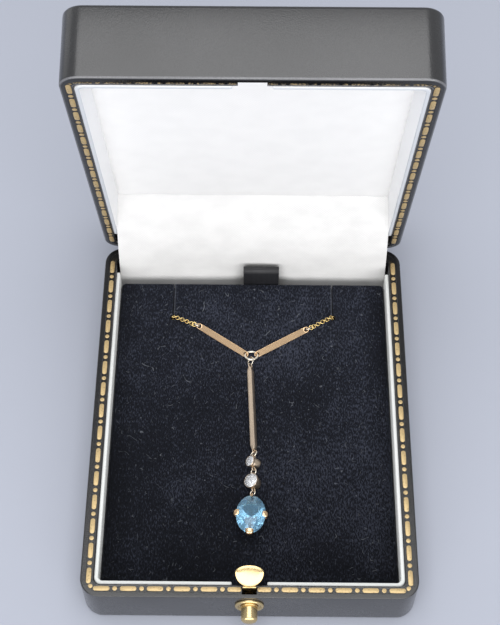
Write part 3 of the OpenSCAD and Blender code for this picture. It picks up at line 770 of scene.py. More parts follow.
def make_finishes(box, necklace):
    groups = {"grain": grain_group(), "weave": weave_group(), "polish": polish_group(), "lint": lint_group()}
    leather, satin, pile = list(box.leather_colour), list(box.satin_colour), list(box.velvet_colour)
    rose, stone = list(necklace.rose_colour), list(necklace.stone_colour)
    lining, satin_threads = (3000.0, 3000.0), (1300.0, 1300.0)
    metals = {
        "rose": ("Rose Gold", rose, 0.24, 0.29, 0.04),
        "grey": ("Worn Rose Gold", [c * s for c, s in zip(rose, (0.88, 1.02, 1.28))], 0.3, 0.4),
        "yellow": ("Yellow Gold", list(necklace.yellow_colour), 0.14, 0.3),
        "pale": ("Pale Gold", list(necklace.pale_colour), 0.14, 0.3),
        "catch": ("Polished Brass", (0.8, 0.6, 0.3), 0.2, 0.34),
        "button": ("Worn Brass", (0.7, 0.54, 0.28), 0.22, 0.34),
        "hinge": ("Hinge Brass", (0.6, 0.48, 0.28), 0.28, 0.5),
        "steel": ("Hinge Steel", (0.45, 0.45, 0.47), 0.25, 0.5),
    }
    FINISHES.update({key: precious(name, groups, *values) for key, (name, *values) in metals.items()})
    FINISHES.update({
        "leather": leatherette("Black Leatherette", groups, leather, [c * 1.6 for c in leather]),
        "foil": foil("Gold Tooling", list(box.foil_colour)),
        "velvet": velvet("Black Velvet", groups, pile, [c * 4.2 + 0.003 for c in pile]),
        "lining": cloth("White Lining", groups, (0.75, 0.76, 0.74), (0.71, 0.72, 0.7), lining, 0.5, 0.55, 0.08),
        # Painted light: the lid's lining is the same white lining as the base's, painted lighter.
        "lid_lining": cloth(
            "White Lid Lining", groups, [0.98] * 3, [0.97] * 3, lining, 0.5, 0.55, 0.06, edge=(0.6, 0.62, 0.65)),
        "ribbon": cloth(
            "Black Ribbon", groups, (0.018, 0.018, 0.021), (0.008, 0.008, 0.01), (700.0, 2600.0), 0.25, 0.5, 0.9,
            slanted=False),
        "satin": cloth(
            "White Satin", groups, satin, [c * 0.95 for c in satin], satin_threads, 0.5, 0.42, 0.25,
            Sheen_Weight=0.25, Sheen_Roughness=0.35, Specular_IOR_Level=0.45),
        # Painted shade: the hinge cover is the lid's satin painted darker.
        "cover": cloth(
            "White Satin Cover", groups, [c * 0.87 for c in satin], [c * 0.79 for c in satin], satin_threads,
            0.5, 0.42, 0.4, Sheen_Weight=0.2, Sheen_Roughness=0.35, Specular_IOR_Level=0.4),
        "diamond": gem("Diamond", (1.0, 1.0, 1.0), (0.7, 0.72, 0.76), 2.3, 0.72),
        "blue": gem("Blue Stone", stone, [c * 0.6 for c in stone], 1.62, 0.8),
    })


# Box


def covered_cup(name, height, floor, edge):
    """The covered shell as an open cup: rounded corners, a soft foot and a rim with a shallow pressed band."""
    obj = block((-CASE_W / 2, -CASE_D / 2, 0), (CASE_W / 2, CASE_D / 2, height))
    edit(obj)
    rounded(upright, CORNER_R, 10)
    rounded(below(NEAR), FOOT_R, 5)
    rounded(above(height - NEAR), edge, 5)
    pick("FACE", lambda f: f.normal.z > 0.99 and middle(f).z > height - NEAR)
    for thickness, depth in ((RIM_FLAT - edge, 0), *RIM_STEPS):
        inset(thickness, depth)
    extrude(0, 0, floor - height + INNER_EDGE)
    leave()
    obj.name = name
    return obj


def mark_rim(obj, rim, wear_and_highlight=None):
    """Sets the face attribute rim_tone to 1 on the rim's faces, to -1 on the faces of an edge with a painted
    highlight and to 0 elsewhere.
    """
    tone = obj.data.attributes.new("rim_tone", "FLOAT", "FACE")
    for face, value in zip(obj.data.polygons, tone.data):
        value.value = 1.0 if rim(face) else -1.0 if wear_and_highlight and wear_and_highlight(face) else 0.0
    return obj


def hinge_cutters(low, high):
    return (
        rod(*HINGE_BORE, HINGE),
        block((-HINGE_CUT_HALF, HINGE_CUT_Y[0], low), (HINGE_CUT_HALF, HINGE_CUT_Y[1], high)),
    )


def tooling_marks(settings):
    """One dash and one dot of the tooling, flat on the XY plane."""
    width = settings.dash_width
    longer = (settings.dash_length - width) / 2
    bpy.ops.mesh.primitive_circle_add(vertices=16, radius=width / 2, fill_type="NGON")
    dash = bpy.context.object
    edit(dash)
    for sign in (1, -1):
        pick("VERT", lambda v: v.co.x * sign > 0.001)
        bpy.ops.transform.translate(value=(sign * longer, 0, 0))
    leave()
    bpy.ops.mesh.primitive_circle_add(vertices=14, radius=width * 0.47, fill_type="NGON")
    dot = bpy.context.object
    for mark in (dash, dot):
        edit(mark)
        extrude(0, 0, 0.07)
        inset(0.06, 0.02)
        leave()
        outward(mark)
    return dash, dot


def tooling(name, settings, z, on_lid):
    """Dashes and dots along the two sides and the front of a rim, with a dot in each corner."""
    dash, dot = tooling_marks(settings)
    across, along_side = CASE_W / 2 - TOOLING_IN, CASE_D / 2 - TOOLING_IN
    side_length = SIDE_DASHES * SIDE_PERIOD
    lines = (
        (Vector((-across, -along_side, z)), Vector((1, 0, 0)), 2 * across, FRONT_DASHES, 0),
        (Vector((-across, -along_side, z)), Vector((0, 1, 0)), side_length, SIDE_DASHES, 90),
        (Vector((across, -along_side, z)), Vector((0, 1, 0)), side_length, SIDE_DASHES, 90),
    )
    made = []
    for start, way, length, count, heading in lines:
        step = length / count
        places = [(dot, i) for i in range(count + 1)] + [(dash, i + 0.5) for i in range(count)]
        for source, i in places:
            at = start + way * step * i
            front = heading == 0
            in_corner = not front and i == 0
            if in_corner or at.y > TOOLING_REAR or (source is dot and front and abs(at.x) < 3):
                continue
            nudge, fit = Vector(), Matrix.Identity(4)
            if source is dot and abs(abs(at.x) - across) < 0.01 and at.y < -along_side + 0.01:
                nudge = Vector((-math.copysign(CORNER_DOT_IN, at.x), CORNER_DOT_IN, 0))
            if source is dash and front and abs(at.x) < 4:
                out, fit[0][0] = LID_MIDDLE_DASH if on_lid else BASE_MIDDLE_DASH
                nudge.x = math.copysign(out, at.x)
            if on_lid and front:
                fit[1][1] = WORN_WIDTH
                nudge.y += WORN_BACK
            one = duplicate(source)
            flip = spin(180 if on_lid else 0, "X")
            one.matrix_world = Matrix.Translation(at + nudge) @ spin(heading, "Z") @ flip @ fit
            made.append(one)
    for source in (dash, dot):
        bpy.data.objects.remove(source)
    obj = join(name, *made)
    apply()
    return smooth(obj, 40)


class NECKLACE_OT_case_shells(bpy.types.Operator):
    """Model the covered shells of the base and the lid, with their rims"""

    bl_idname = "necklace.case_shells"
    bl_label = "Case Shells"

    def execute(self, context):
        clear()
        base = covered_cup("base_shell_covered", BASE_H, BASE_FLOOR, BASE_EDGE)
        cut(base, *hinge_cutters(BASE_H - 0.6, BASE_H + 1))
        cut(base, block((-SLOT_HALF, SLOT_Y[0], SLOT_BOTTOM), (SLOT_HALF, SLOT_Y[1], BASE_H + 1)))
        bore = rod(BUTTON_BORE, 2, (0, 0, 0))
        bore.matrix_world = shift(0, -CASE_D / 2, BUTTON_Z) @ spin(90, "Z")
        cut(base, bore)
        # Painted shade: the base's rim faces are marked to be painted dark.
        mark_rim(base, lambda f: f.normal.z > 0.9 and f.center.z > BASE_H - 0.2)
        piece(smooth(base, 30), "base_shell_covered", "leather", "base_shell")
        lid = covered_cup("lid_shell_covered", LID_TOP - LID_LOW, LID_ROOF, LID_EDGE)
        baked(lid, shift(0, 0, LID_TOP) @ spin(180, "X"))
        cut(lid, *hinge_cutters(LID_LOW - 1, HINGE.z + 0.8))
        cut(lid, block((-POCKET_HALF, POCKET_Y[0], LID_LOW - 1), (POCKET_HALF, POCKET_Y[1], LID_LOW + POCKET_H)))
        # Painted shade on the lid's rim faces, and a painted highlight on its front edge.
        mark_rim(lid, lambda f: f.normal.z < -0.9 and f.center.z < LID_LOW + 0.2,
                 lambda f: -0.8 < f.normal.z < -0.2 and f.normal.y < -0.2 and f.center.z < LID_LOW + LID_EDGE)
        piece(smooth(lid, 30), "lid_shell_covered", "leather", "lid_shell", opened(), "lid")
        return {"FINISHED"}


class NECKLACE_OT_tooling(bpy.types.Operator):
    """Lay the gold dashes and dots along both rims"""

    bl_idname = "necklace.tooling"
    bl_label = "Gold Tooling"

    def execute(self, context):
        clear()
        settings = context.scene.necklace_case
        piece(tooling("base_tooling", settings, BASE_H - TOOLING_SINK, False), "base_tooling", "foil")
        lid = tooling("lid_tooling", settings, LID_LOW + TOOLING_SINK, True)
        # The foil of the lid's front dashes is made mostly dark.
        mark_rim(lid, lambda f: f.center.y < DARK_FOIL_LINE_Y)
        piece(lid, "lid_tooling", "foil", at=opened(), body="lid")
        return {"FINISHED"}


class NECKLACE_OT_linings(bpy.types.Operator):
    """Model the white lining collars of the base and the lid"""

    bl_idname = "necklace.linings"
    bl_label = "Lining Collars"

    def execute(self, context):
        clear()
        lining = refined("base_lining", 0.35, 3)
        for v in lining.data.vertices:
            if v.co.y > BASE_LINING_REAR:
                v.co.y += BASE_LINING_LONGER
        piece(lining, "base_lining_covered", "lining", "base_lining")
        collar = baked(refined("lid_lining", 0), opened().inverted())
        for v in collar.data.vertices:
            if v.co.y > COLLAR_REAR:
                v.co.y += COLLAR_LONGER
            if v.co.z > HINGE.z + 4:
                v.co.z = HINGE.z + COLLAR_DEEP
                if abs(v.co.x) < COLLAR_INSIDE:
                    v.co.x -= math.copysign(COLLAR_SLANT, v.co.x)
        soften(collar, 0.3, 3, 40)
        # Painted shade: the collar's faces towards the rim take the grey-blue edge colour.
        mark_rim(collar, lambda f: f.normal.z < -0.6)
        piece(smooth(collar), "lid_lining_covered", "lid_lining", "lid_lining", opened(), "lid")
        return {"FINISHED"}


class NECKLACE_OT_velvet_pad(bpy.types.Operator):
    """Model the velvet pad with its slits, and the ribbon tab behind it"""

    bl_idname = "necklace.velvet_pad"
    bl_label = "Velvet Pad"

    def execute(self, context):
        clear()
        pad = block(PAD_LOW, PAD_HIGH)
        edit(pad)
        rounded(upright, 1.2, 5)
        rounded(above(VELVET_TOP - NEAR), 0.7, 5)
        leave()
        cut(pad, block(PAD_HOLLOW_LOW, PAD_HOLLOW_HIGH))
        for x, y in (SLIT_LEFT, SLIT_RIGHT):
            bpy.ops.mesh.primitive_cylinder_add(
                vertices=24, radius=SLIT_END_R, depth=6, location=(x, y, VELVET_TOP))
            cut(pad, bpy.context.object, block((x - SLIT_HALF, y, 5), (x + SLIT_HALF, 44, 10)))
        soften(pad, 0.12, 3, 50)
        piece(smooth(pad, 40), "velvet_pad_covered", "velvet", "velvet_pad")
        piece(refined("pull_tab", 0.12, 2), "pull_tab_ribbon", "ribbon", "pull_tab")
        return {"FINISHED"}


def satin_fold(u, v):
    """How far the satin cover stands forward, in millimetres, at u across and v up it, both 0 to 1."""

    def hump(x, width, power=2):
        return math.exp(-((x / width) ** power))

    soft = 0.16 * math.sin(9 * u + 5 * v) + 0.12 * math.sin(23 * u - 7 * v + 1)
    drawn = 0.22 * hump(u - 0.06 - 0.1 * v, 0.035) + 0.2 * hump(u - 0.95 + 0.09 * v, 0.03)
    roll = 0.3 * hump(v - 0.86 - 0.02 * math.sin(6 * u), 0.06)
    ribbon_at, ribbon_half = 0.532, 0.095
    foot = 1.25 * hump(v, 0.2) * (1 - hump(u - ribbon_at, ribbon_half, 4))
    return soft * math.sin(math.pi * v) ** 0.5 + drawn * (1 - hump(v, 0.2)) + roll + foot


class NECKLACE_OT_satin_cover(bpy.types.Operator):
    """Model the satin that covers the hinge, from the base up to the lid's cushion"""

    bl_idname = "necklace.satin_cover"
    bl_label = "Satin Hinge Cover"

    def execute(self, context):
        clear()
        bpy.ops.mesh.primitive_grid_add(x_subdivisions=90, y_subdivisions=46, size=1)
        sheet = bpy.context.object
        for v in sheet.data.vertices:
            u, t = v.co.x + 0.5, v.co.y + 0.5
            here = along(COVER_LINE, t)
            slope = along(COVER_LINE, min(1, t + 0.01)) - along(COVER_LINE, max(0, t - 0.01))
            slope.normalize()
            out = satin_fold(u, t) - COVER_BACK
            width = COVER_W - COVER_NARROWS * min(t, COVER_EVEN_FROM)
            v.co = (width * (u - 0.5), here.x - slope.y * out, here.y + slope.x * out)
        outward(sheet)
        edit(sheet)
        data = bmesh.from_edit_mesh(sheet.data)
        if sum(f.normal.y for f in data.faces) > 0:
            bpy.ops.mesh.flip_normals()
        leave()
        modify(sheet, "SOLIDIFY", thickness=COVER_T, offset=-1)
        piece(smooth(sheet, 60), "satin_hinge_sheet", "cover", "satin_hinge_cover", body=None)
        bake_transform(sheet)
        return {"FINISHED"}


class NECKLACE_OT_lid_cushion(bpy.types.Operator):
    """Model the wadded satin cushion in the lid, swelled by a cloth simulation"""

    bl_idname = "necklace.lid_cushion"
    bl_label = "Lid Cushion"

    def execute(self, context):
        clear()
        cushion = block(
            (-CUSHION_HALF - 0.6, CUSHION_FRONT + SWELL, CUSHION_LOW + SWELL),
            (CUSHION_HALF + 0.6, CUSHION_REAR - SWELL, CUSHION_HIGH))
        edit(cushion)
        rounded(upright, 1.4, 4)
        rounded(below(CUSHION_LOW + SWELL + NEAR), 0.8, 4)
        leave()
        modify(cushion, "REMESH", mode="VOXEL", voxel_size=1.0)
        rest = [v.co.copy() for v in cushion.data.vertices]
        baked(cushion, Matrix.Scale(0.01, 4))
        sim = cushion.modifiers.new("Cloth", "CLOTH")
        for key, value in {
            "quality": 6, "mass": 0.3, "tension_stiffness": 15, "compression_stiffness": 15,
            "bending_stiffness": 0.5, "use_pressure": True, "uniform_pressure_force": 4,
        }.items():
            setattr(sim.settings, key, value)
        sim.settings.effector_weights.gravity = 0
        for number in range(1, 21):
            context.scene.frame_set(number)
        take(cushion)
        bpy.ops.object.modifier_apply(modifier=sim.name)
        context.scene.frame_set(1)
        baked(cushion, Matrix.Scale(100, 4))
        for v, start in zip(cushion.data.vertices, rest):
            step = v.co - start
            if step.length > MOST_SWELL:
                step *= MOST_SWELL / step.length
            v.co = start + step
        for v in cushion.data.vertices:
            v.co.x = max(-CUSHION_HALF, min(CUSHION_HALF, v.co.x))
            v.co.y = max(CUSHION_FRONT, min(CUSHION_REAR, v.co.y))
            v.co.z = max(CUSHION_LOW, min(CUSHION_HIGH, v.co.z))
        modify(cushion, "SUBSURF", levels=1, render_levels=1)
        piece(smooth(cushion, 60), "lid_cushion", "satin", "lid_panel", opened(), "lid")
        return {"FINISHED"}


def catch_shield():
    """The catch's pointed oval head, domed, sloping up and back."""
    bpy.ops.mesh.primitive_circle_add(vertices=56, radius=1, fill_type="NGON")
    shield = bpy.context.object
    edit(shield)
    stretch(SHIELD_HALF, 1, 1)
    for upper, length in ((True, SHIELD_UP), (False, SHIELD_DOWN)):
        pick("VERT", lambda v: abs(v.co.y) > 0.001 and (v.co.y > 0) == upper)
        stretch(1, length, 1)
    everything()
    bpy.ops.transform.translate(value=(0, SHIELD_MIDDLE, 0))
    bpy.ops.mesh.select_mode(type="FACE")
    extrude(0, 0, 0.36)
    inset(0.12, 0.06)
    inset(0.8, 0.16)
    leave()
    return baked(outward(shield), shift(*SHIELD_AT) @ spin(SHIELD_SLOPE, "X"))


class NECKLACE_OT_fastening(bpy.types.Operator):
    """Model the brass catch, the push button and its round plate, and finish the hinge"""

    bl_idname = "necklace.fastening"
    bl_label = "Catch, Button and Hinge"

    def execute(self, context):
        clear()
        hook = join("catch_hook_polished", catch_shield(), block(*STEM), block(*NECK))
        soften(hook, 0.06, 2)
        piece(smooth(hook, 25), "catch_hook_polished", "catch", "catch_hook")
        for name, node, profile, steps, y in (
            ("button_rosette", "button_plate", PLATE, 64, PLATE_Y),
            ("push_button_domed", "push_button", BUTTON, 48, BUTTON_Y),
        ):
            at = shift(0, y, BUTTON_Z) @ spin(90, "X")
            piece(smooth(turned(name, profile, steps), 40), name, "button", node, at)
        for node, finish in (
            ("hinge_leaf_base", "hinge"), ("hinge_leaf_lid", "hinge"), ("hinge_pin", "steel"), ("clasp", "yellow"),
        ):
            NODES[node].data.materials.clear()
            NODES[node].data.materials.append(FINISHES[finish])
            smooth(NODES[node], 35)
        return {"FINISHED"}


# Necklace


def flat_bar():
    """A thin flat bar with round ends and two holes, from the origin along X."""
    rings = []
    for x in (0, BAR_SPAN):
        bpy.ops.mesh.primitive_circle_add(vertices=40, radius=BAR_HOLE, location=(x, 0, 0))
        bpy.ops.object.transform_apply(location=True)
        rings.append(bpy.context.object)
    k = BAR_W / 2 / BAR_HOLE
    for ring, x in zip(rings, (0, BAR_SPAN)):
        edit(ring)
        bpy.ops.mesh.extrude_edges_move()
        stretch(k, k, 1, (x, 0, 0))
        leave()
    bar = join("bar", *rings)
    edit(bar)

    def inner_half(e):
        at = middle(e)
        centre = Vector((0 if at.x < BAR_SPAN / 2 else BAR_SPAN, 0, 0))
        outer = all((v.co - centre).length > BAR_W / 2 - 0.01 for v in e.verts)
        return outer and 0 < at.x < BAR_SPAN

    pick("EDGE", inner_half)
    bpy.ops.mesh.bridge_edge_loops()
    everything()
    bpy.ops.mesh.normals_make_consistent(inside=False)
    extrude(0, 0, BAR_T)
    everything()
    bpy.ops.transform.translate(value=(0, 0, -BAR_T / 2))
    bpy.ops.mesh.normals_make_consistent(inside=False)
    pick("FACE", lambda f: f.normal.z > 0.9 and middle(f).z > 0.1)
    inset(0.08, 0)
    inset(0.13, -0.05)
    leave()
    return smooth(soften(outward(bar), 0.07, 3, 50), 35)


def bar_end(hole, heading):
    end = ahead(hole, heading, BAR_SPAN)
    return Vector((end.x, end.y, OUTER_Z))


class NECKLACE_OT_side_bars(bpy.types.Operator):
    """Model the two flat side bars and the rings at their ends"""

    bl_idname = "necklace.side_bars"
    bl_label = "Side Bars and Rings"

    def execute(self, context):
        clear()
        for side, _, hole, heading, roll, lean, *_ in SIDES:
            at = Matrix.Translation(hole) @ spin(heading, "Z") @ turn(roll, -BAR_RISE, 0)
            piece(flat_bar(), f"bar_{side}_polished", "rose", f"bar_{side}", at)
            jump = ahead(bar_end(hole, heading), heading, JUMP_R)
            at = Matrix.Translation(jump) @ spin(heading, "Z") @ spin(lean, "X") @ spin(60, "Z")
            ring = wire_ring(JUMP_R, JUMP_WIRE)
            piece(ring, f"jump_ring_{side}_wire", "pale", f"jump_ring_{side}", at)
        at = Matrix.Translation(RING_AT) @ spin(-RING_TILT, "X") @ spin(-60, "Z")
        ring = wire_ring(RING_R, RING_WIRE, 56, 14, 3)
        piece(ring, "centre_ring_wire", "pale", "centre_ring", at)
        at = shift(*CENTRE_JUMP_AT) @ spin(-55, "Y") @ spin(20, "Z")
        ring = wire_ring(CENTRE_JUMP_R, DROP_WIRE, 48, 12, 4)
        piece(ring, "jump_ring_centre_wire", "pale", "jump_ring_centre", at)
        return {"FINISHED"}


def route(points, pitch):
    """Points one pitch apart along the smooth line through the given points."""
    fine = [along(points, i / 3000) for i in range(3001)]
    made, far, last = [fine[0]], 0.0, fine[0]
    for p in fine[1:]:
        far += (p - last).length
        last = p
        if far >= pitch:
            made.append(p)
            far -= pitch
    return made


def link_chain(name, points, settings, first_turn):
    """Real links along a line, each turned a quarter from the last, modelled once and copied."""
    bpy.ops.mesh.primitive_torus_add(
        major_radius=settings.link_radius, minor_radius=settings.link_wire, major_segments=14, minor_segments=6)
    link = bpy.context.object
    edit(link)
    bpy.ops.transform.resize(value=(1.04, 0.94, 1))
    leave()
    smooth(link, 75)
    made = []
    up = Vector((0, 0, 1))
    for i, p in enumerate(points):
        way = (points[min(i + 1, len(points) - 1)] - points[max(i - 1, 0)]).normalized()
        up = (up - way * up.dot(way)).normalized()
        side = up.cross(way)
        frame_here = Matrix((way, side, up)).transposed().to_4x4()
        one = duplicate(link)
        one.matrix_world = Matrix.Translation(p) @ frame_here @ spin(first_turn + 90 * (i % 2), "X")
        made.append(one)
    bpy.data.objects.remove(link)
    obj = join(name, *made)
    apply()
    return obj


class NECKLACE_OT_chains(bpy.types.Operator):
    """Lay both halves of the trace chain, link by link, from the bars down and round under the pad to the clasp"""

    bl_idname = "necklace.chains"
    bl_label = "Trace Chains"

    def execute(self, context):
        clear()
        settings = context.scene.necklace_jewel
        step = JUMP_R + FIRST_R - JUMP_WIRE - FIRST_WIRE - 0.09
        onward = FIRST_R + settings.link_radius - FIRST_WIRE - settings.link_wire - 0.07
        for label, side, hole, heading, _, _, chain_turn, slit in SIDES:
            jump = ahead(bar_end(hole, heading), heading, JUMP_R)
            start = ahead(jump, chain_turn, step)
            start.z = CHAIN_Z
            first = ahead(start, chain_turn, onward)
            x, y = slit
            over = Vector((x, y, CHAIN_Z)) - first
            way = over.normalized()
            points = [
                first, first + over * 0.35 + Vector((0, 0.05, -0.04)), first + over * 0.7 + Vector((0, -0.02, -0.06)),
                Vector((x - way.x * 0.5, y - way.y * 0.5, 9.45)), *(Vector((x, y, z)) for z in (8.9, 7.6, 5.6)),
            ]
            run = [Vector((-side * p[0], p[1], p[2])) for p in LEFT_RUN]
            if side > 0:
                run[0].x, run[1].x = RIGHT_BEND
            big = baked(
                wire_ring(FIRST_R, FIRST_WIRE, 28, 10),
                Matrix.Translation(start) @ spin(chain_turn, "Z") @ spin(side * 40, "X") @ spin(70, "Z"))
            chain = link_chain("chain", route(points + run, settings.link_pitch), settings, side * 15)
            end = baked(wire_ring(0.8, 0.15, 28, 10), shift(side * 2.25, CLASP_Y, CLASP_Z) @ spin(70, "X"))
            whole = join("chain", chain, big, end)
            piece(whole, f"trace_chain_{label}", "yellow", f"chain_{label}")
        return {"FINISHED"}


def drop_eye(at, radius=EYE_R, wire_r=EYE_WIRE):
    bpy.ops.mesh.primitive_torus_add(
        major_radius=radius, minor_radius=wire_r, major_segments=32, minor_segments=12)
    eye = smooth(bpy.context.object, 60)
    return baked(eye, Matrix.Translation(at) @ spin(90 - DROP_TURN, "Y"))


def drop_ring(p, q):
    """A ring that joins two eyes, and its place."""
    way = q - p
    ring = wire_ring(way.length / 2 - 0.06, DROP_WIRE, 36)
    tip = math.degrees(math.asin(way.z / way.length))
    heading = math.degrees(math.atan2(way.y, way.x)) - 90
    return ring, Matrix.Translation((p + q) / 2) @ turn(tip, 0, heading) @ turn(0, DROP_TURN, 0) @ spin(35, "Z")


def collet_eye_at(at, front, back, sign):
    return at + Vector((0, sign * ((front + back) / 2 + COLLET_EYE_OUT), 0))


class NECKLACE_OT_drop_bar(bpy.types.Operator):
    """Model the long square drop bar with an eyelet at each end, and the rings of the drop"""

    bl_idname = "necklace.drop_bar"
    bl_label = "Drop Bar and Rings"

    def execute(self, context):
        clear()
        slant = math.atan((DROP_X[1] - DROP_X[0]) / (DROP_TOP - DROP_BOTTOM))
        half = (DROP_TOP - DROP_BOTTOM) / 2 / math.cos(slant)
        s = DROP_HALF_W
        bar = block((-s, -half + DROP_TAPER, -s), (s, half - DROP_TAPER, s))
        edit(bar)
        for sign in (-1, 1):
            pick("FACE", lambda f: f.normal.y * sign > 0.9)
            extrude(0, sign * DROP_TAPER, 0)
            bpy.ops.transform.resize(value=(0.55, 1, 0.8))
        leave()
        baked(soften(outward(bar), 0.1, 3, 8), spin(-35, "Y"))
        out, *wire_sizes = TOP_EYE
        whole = join(
            "drop", bar, drop_eye((0, half + out, 0), *wire_sizes), drop_eye((0, -half - FOOT_EYE_OUT, 0)))
        at = shift(sum(DROP_X) / 2, (DROP_TOP + DROP_BOTTOM) / 2, DROP_Z) @ Matrix.Rotation(slant, 4, "Z")
        piece(smooth(whole, 35), "drop_bar_polished", "grey", "drop_bar", at)
        (small_top, small_foot), (large_top, large_foot) = (
            [collet_eye_at(at, front, back, sign) for sign in (1, -1)] for _, at, _, front, back in COLLETS)
        foot_at = Vector((DROP_X[1] + 0.02, DROP_BOTTOM - FOOT_EYE_OUT, DROP_Z))
        for name, p, q in (
            ("upper", foot_at, small_top), ("middle", small_foot, large_top), ("lower", large_foot, BLUE_EYE),
        ):
            ring, at = drop_ring(p, q)
            piece(ring, f"drop_ring_{name}_wire", "pale", f"drop_ring_{name}", at)
        return {"FINISHED"}


def cut_stone(a, b, crown_angle, under_angle, table):
    """Cuts a brilliant by bisecting a rough round, one plane for each facet, then stretches it to an oval."""
    bpy.ops.mesh.primitive_cylinder_add(vertices=48, radius=1, depth=3)
    stone = bpy.context.object
    edit(stone)
    angles = (crown_angle, under_angle, crown_angle * STAR_SLOPE)
    crown, under, star = (math.tan(math.radians(angle)) for angle in angles)
    top = GIRDLE + crown * (1 - table)

    def facet(azimuth, slope, out, z, sign):
        a_r = math.radians(azimuth)
        way = Vector((math.cos(a_r), math.sin(a_r), 0))
        everything()
        bpy.ops.mesh.bisect(
            plane_co=way * out + Vector((0, 0, z)), plane_no=way * slope + Vector((0, 0, sign)),
            use_fill=True, clear_outer=True)

    part = 360 / FOLD
    near = math.cos(math.radians(part / 4))
    for k in range(2 * FOLD):
        facet(part / 4 + part / 2 * k, crown * UPPER_SLOPE, near, GIRDLE, 1)
        facet(part / 4 + part / 2 * k, under * LOWER_SLOPE, near, -GIRDLE, -1)
    for k in range(FOLD):
        facet(part * k, crown, 1, GIRDLE, 1)
        facet(part * k, under, 1, -GIRDLE, -1)
    facet(0, 0, 0, top, 1)
    for k in range(FOLD):
        facet(part / 2 + part * k, star, table * math.cos(math.radians(part / 2)), top, 1)
    everything()
    bpy.ops.mesh.remove_doubles(threshold=0.0008)
    bpy.ops.mesh.dissolve_limited(angle_limit=math.radians(0.4))
    stretch(a, b, a)
    bpy.ops.mesh.normals_make_consistent(inside=False)
    leave()
    # Painted glints: each facet gets a brightness from its normal and the table a fixed middle one, standing in for
    # the light they catch.
    tone = stone.data.attributes.new("painted_facet_glint", "FLOAT", "FACE")
    for face, value in zip(stone.data.polygons, tone.data):
        n = face.normal
        swing = math.sin(37.1 * n.x + 53.7 * n.y + 29.3 * n.z)
        value.value = 0.45 if n.z > 0.999 else 0.5 + 0.5 * swing
    return stone


def collet(front, back):
    """A tapering cup with a bead round its mouth, from its back radius to its front radius."""
    h = COLLET_H / 2
    return turned("collet", [
        (back - 0.35, -h), (back - 0.06, -h), (back, -h + 0.06), (back + 0.1 * (front - back), -h + 0.3),
        (front - 0.06, h - 0.75), (front - 0.1, h - 0.62), (front - 0.1, h - 0.56), (front - 0.02, h - 0.46),
        (front, h - 0.2), (front - 0.02, h - 0.05), (front - 0.06, h + 0.01), (front - 0.1, h + 0.01),
        (front - 0.14, h - 0.04), (front - 0.17, h - 0.14), (front - 0.32, h - 0.45), (back - 0.35, h - 1.1)], 56)


class NECKLACE_OT_diamonds(bpy.types.Operator):
    """Model the two diamonds in their collets"""

    bl_idname = "necklace.diamonds"
    bl_label = "Diamonds"

    def execute(self, context):
        clear()
        for name, at, tilt, front, back in COLLETS:
            leaning = spin(-tilt, "Y")
            cup = baked(collet(front, back), leaning)
            eyes = [drop_eye(collet_eye_at(at, front, back, sign) - at) for sign in (-1, 1)]
            whole = smooth(join("collet", cup, *eyes), 40)
            there = Matrix.Translation(at)
            piece(whole, f"collet_{name}_polished", "grey", f"collet_{name}", there)
            r = front - 0.15
            mouth = there @ leaning @ shift(0, 0, COLLET_H / 2)
            stone = cut_stone(r, r, 34.5, 40.5, 0.56)
            piece(stone, f"diamond_{name}_cut", "diamond", f"diamond_{name}", mouth)
        return {"FINISHED"}


class NECKLACE_OT_blue_stone(bpy.types.Operator):
    """Model the oval blue stone and its four claw setting"""

    bl_idname = "necklace.blue_stone"
    bl_label = "Blue Stone"

    def execute(self, context):
        clear()
        a, b = BLUE_HALF_W, BLUE_HALF_L
        at = Matrix.Translation(BLUE_AT) @ spin(BLUE_TURN, "Z")
        piece(cut_stone(a, b, 32, 41, 0.55), "blue_stone_cut", "blue", "blue_stone", at)
        low = VELVET_TOP + 0.4 - BLUE_AT.z
        foot, ledge = (-1.7, -2.1, low), (-0.62, -0.8, -1.05)
        parts = []
        for (da, db, z), r in ((foot, 0.26), (ledge, 0.24)):
            turns = [math.pi / 12 * i for i in range(24)]
            ring = [((a + da) * math.cos(t), (b + db) * math.sin(t), z) for t in turns]
            parts.append(wire("gallery", ring, [r] * len(ring), closed=True, sides=3))
        claw_line = (
            foot, ledge, (0.3, 0.3, -0.2), (0.38, 0.38, 0.3), (0.15, 0.15, 0.75), (-0.35, -0.35, 1.0),
            (-0.75, -0.75, 1.12))
        across = [0.28, 0.3, 0.34, 0.38, 0.36, 0.34, 0.26]
        rear, front = [0.26, 0.26, 0.26, 0.26, 0.24, 0.2, 0.12], [0.28, 0.3, 0.34, 0.36, 0.46, 0.52, 0.46]
        for k, (sizes, wider) in enumerate((
            (across, (1, 2.3, 1)), (rear, (1, 1, 1)), (across, (1, 2.3, 1)), (front, (2.1, 1, 1)),
        )):
            c, s = math.cos(math.pi / 2 * k), math.sin(math.pi / 2 * k)
            claw = wire("claw", [((a + da) * c, (b + db) * s, z) for da, db, z in claw_line], sizes)
            edit(claw)
            stretch(*wider)
            leave()
            parts.append(claw)
        basket = baked(join("basket", *parts), spin(BLUE_TURN, "Z"))
        eye = BLUE_EYE - BLUE_AT
        stalk_line = [(eye.x - 0.1, eye.y - 1.25, eye.z), (eye.x, eye.y - 0.9, eye.z), (eye.x, eye.y - 0.5, eye.z)]
        whole = join("setting", basket, wire("stalk", stalk_line, [0.3, 0.26, 0.2]), drop_eye(eye))
        at = Matrix.Translation(BLUE_AT)
        piece(smooth(whole, 45), "claw_setting_polished", "rose", "claw_setting", at)
        return {"FINISHED"}


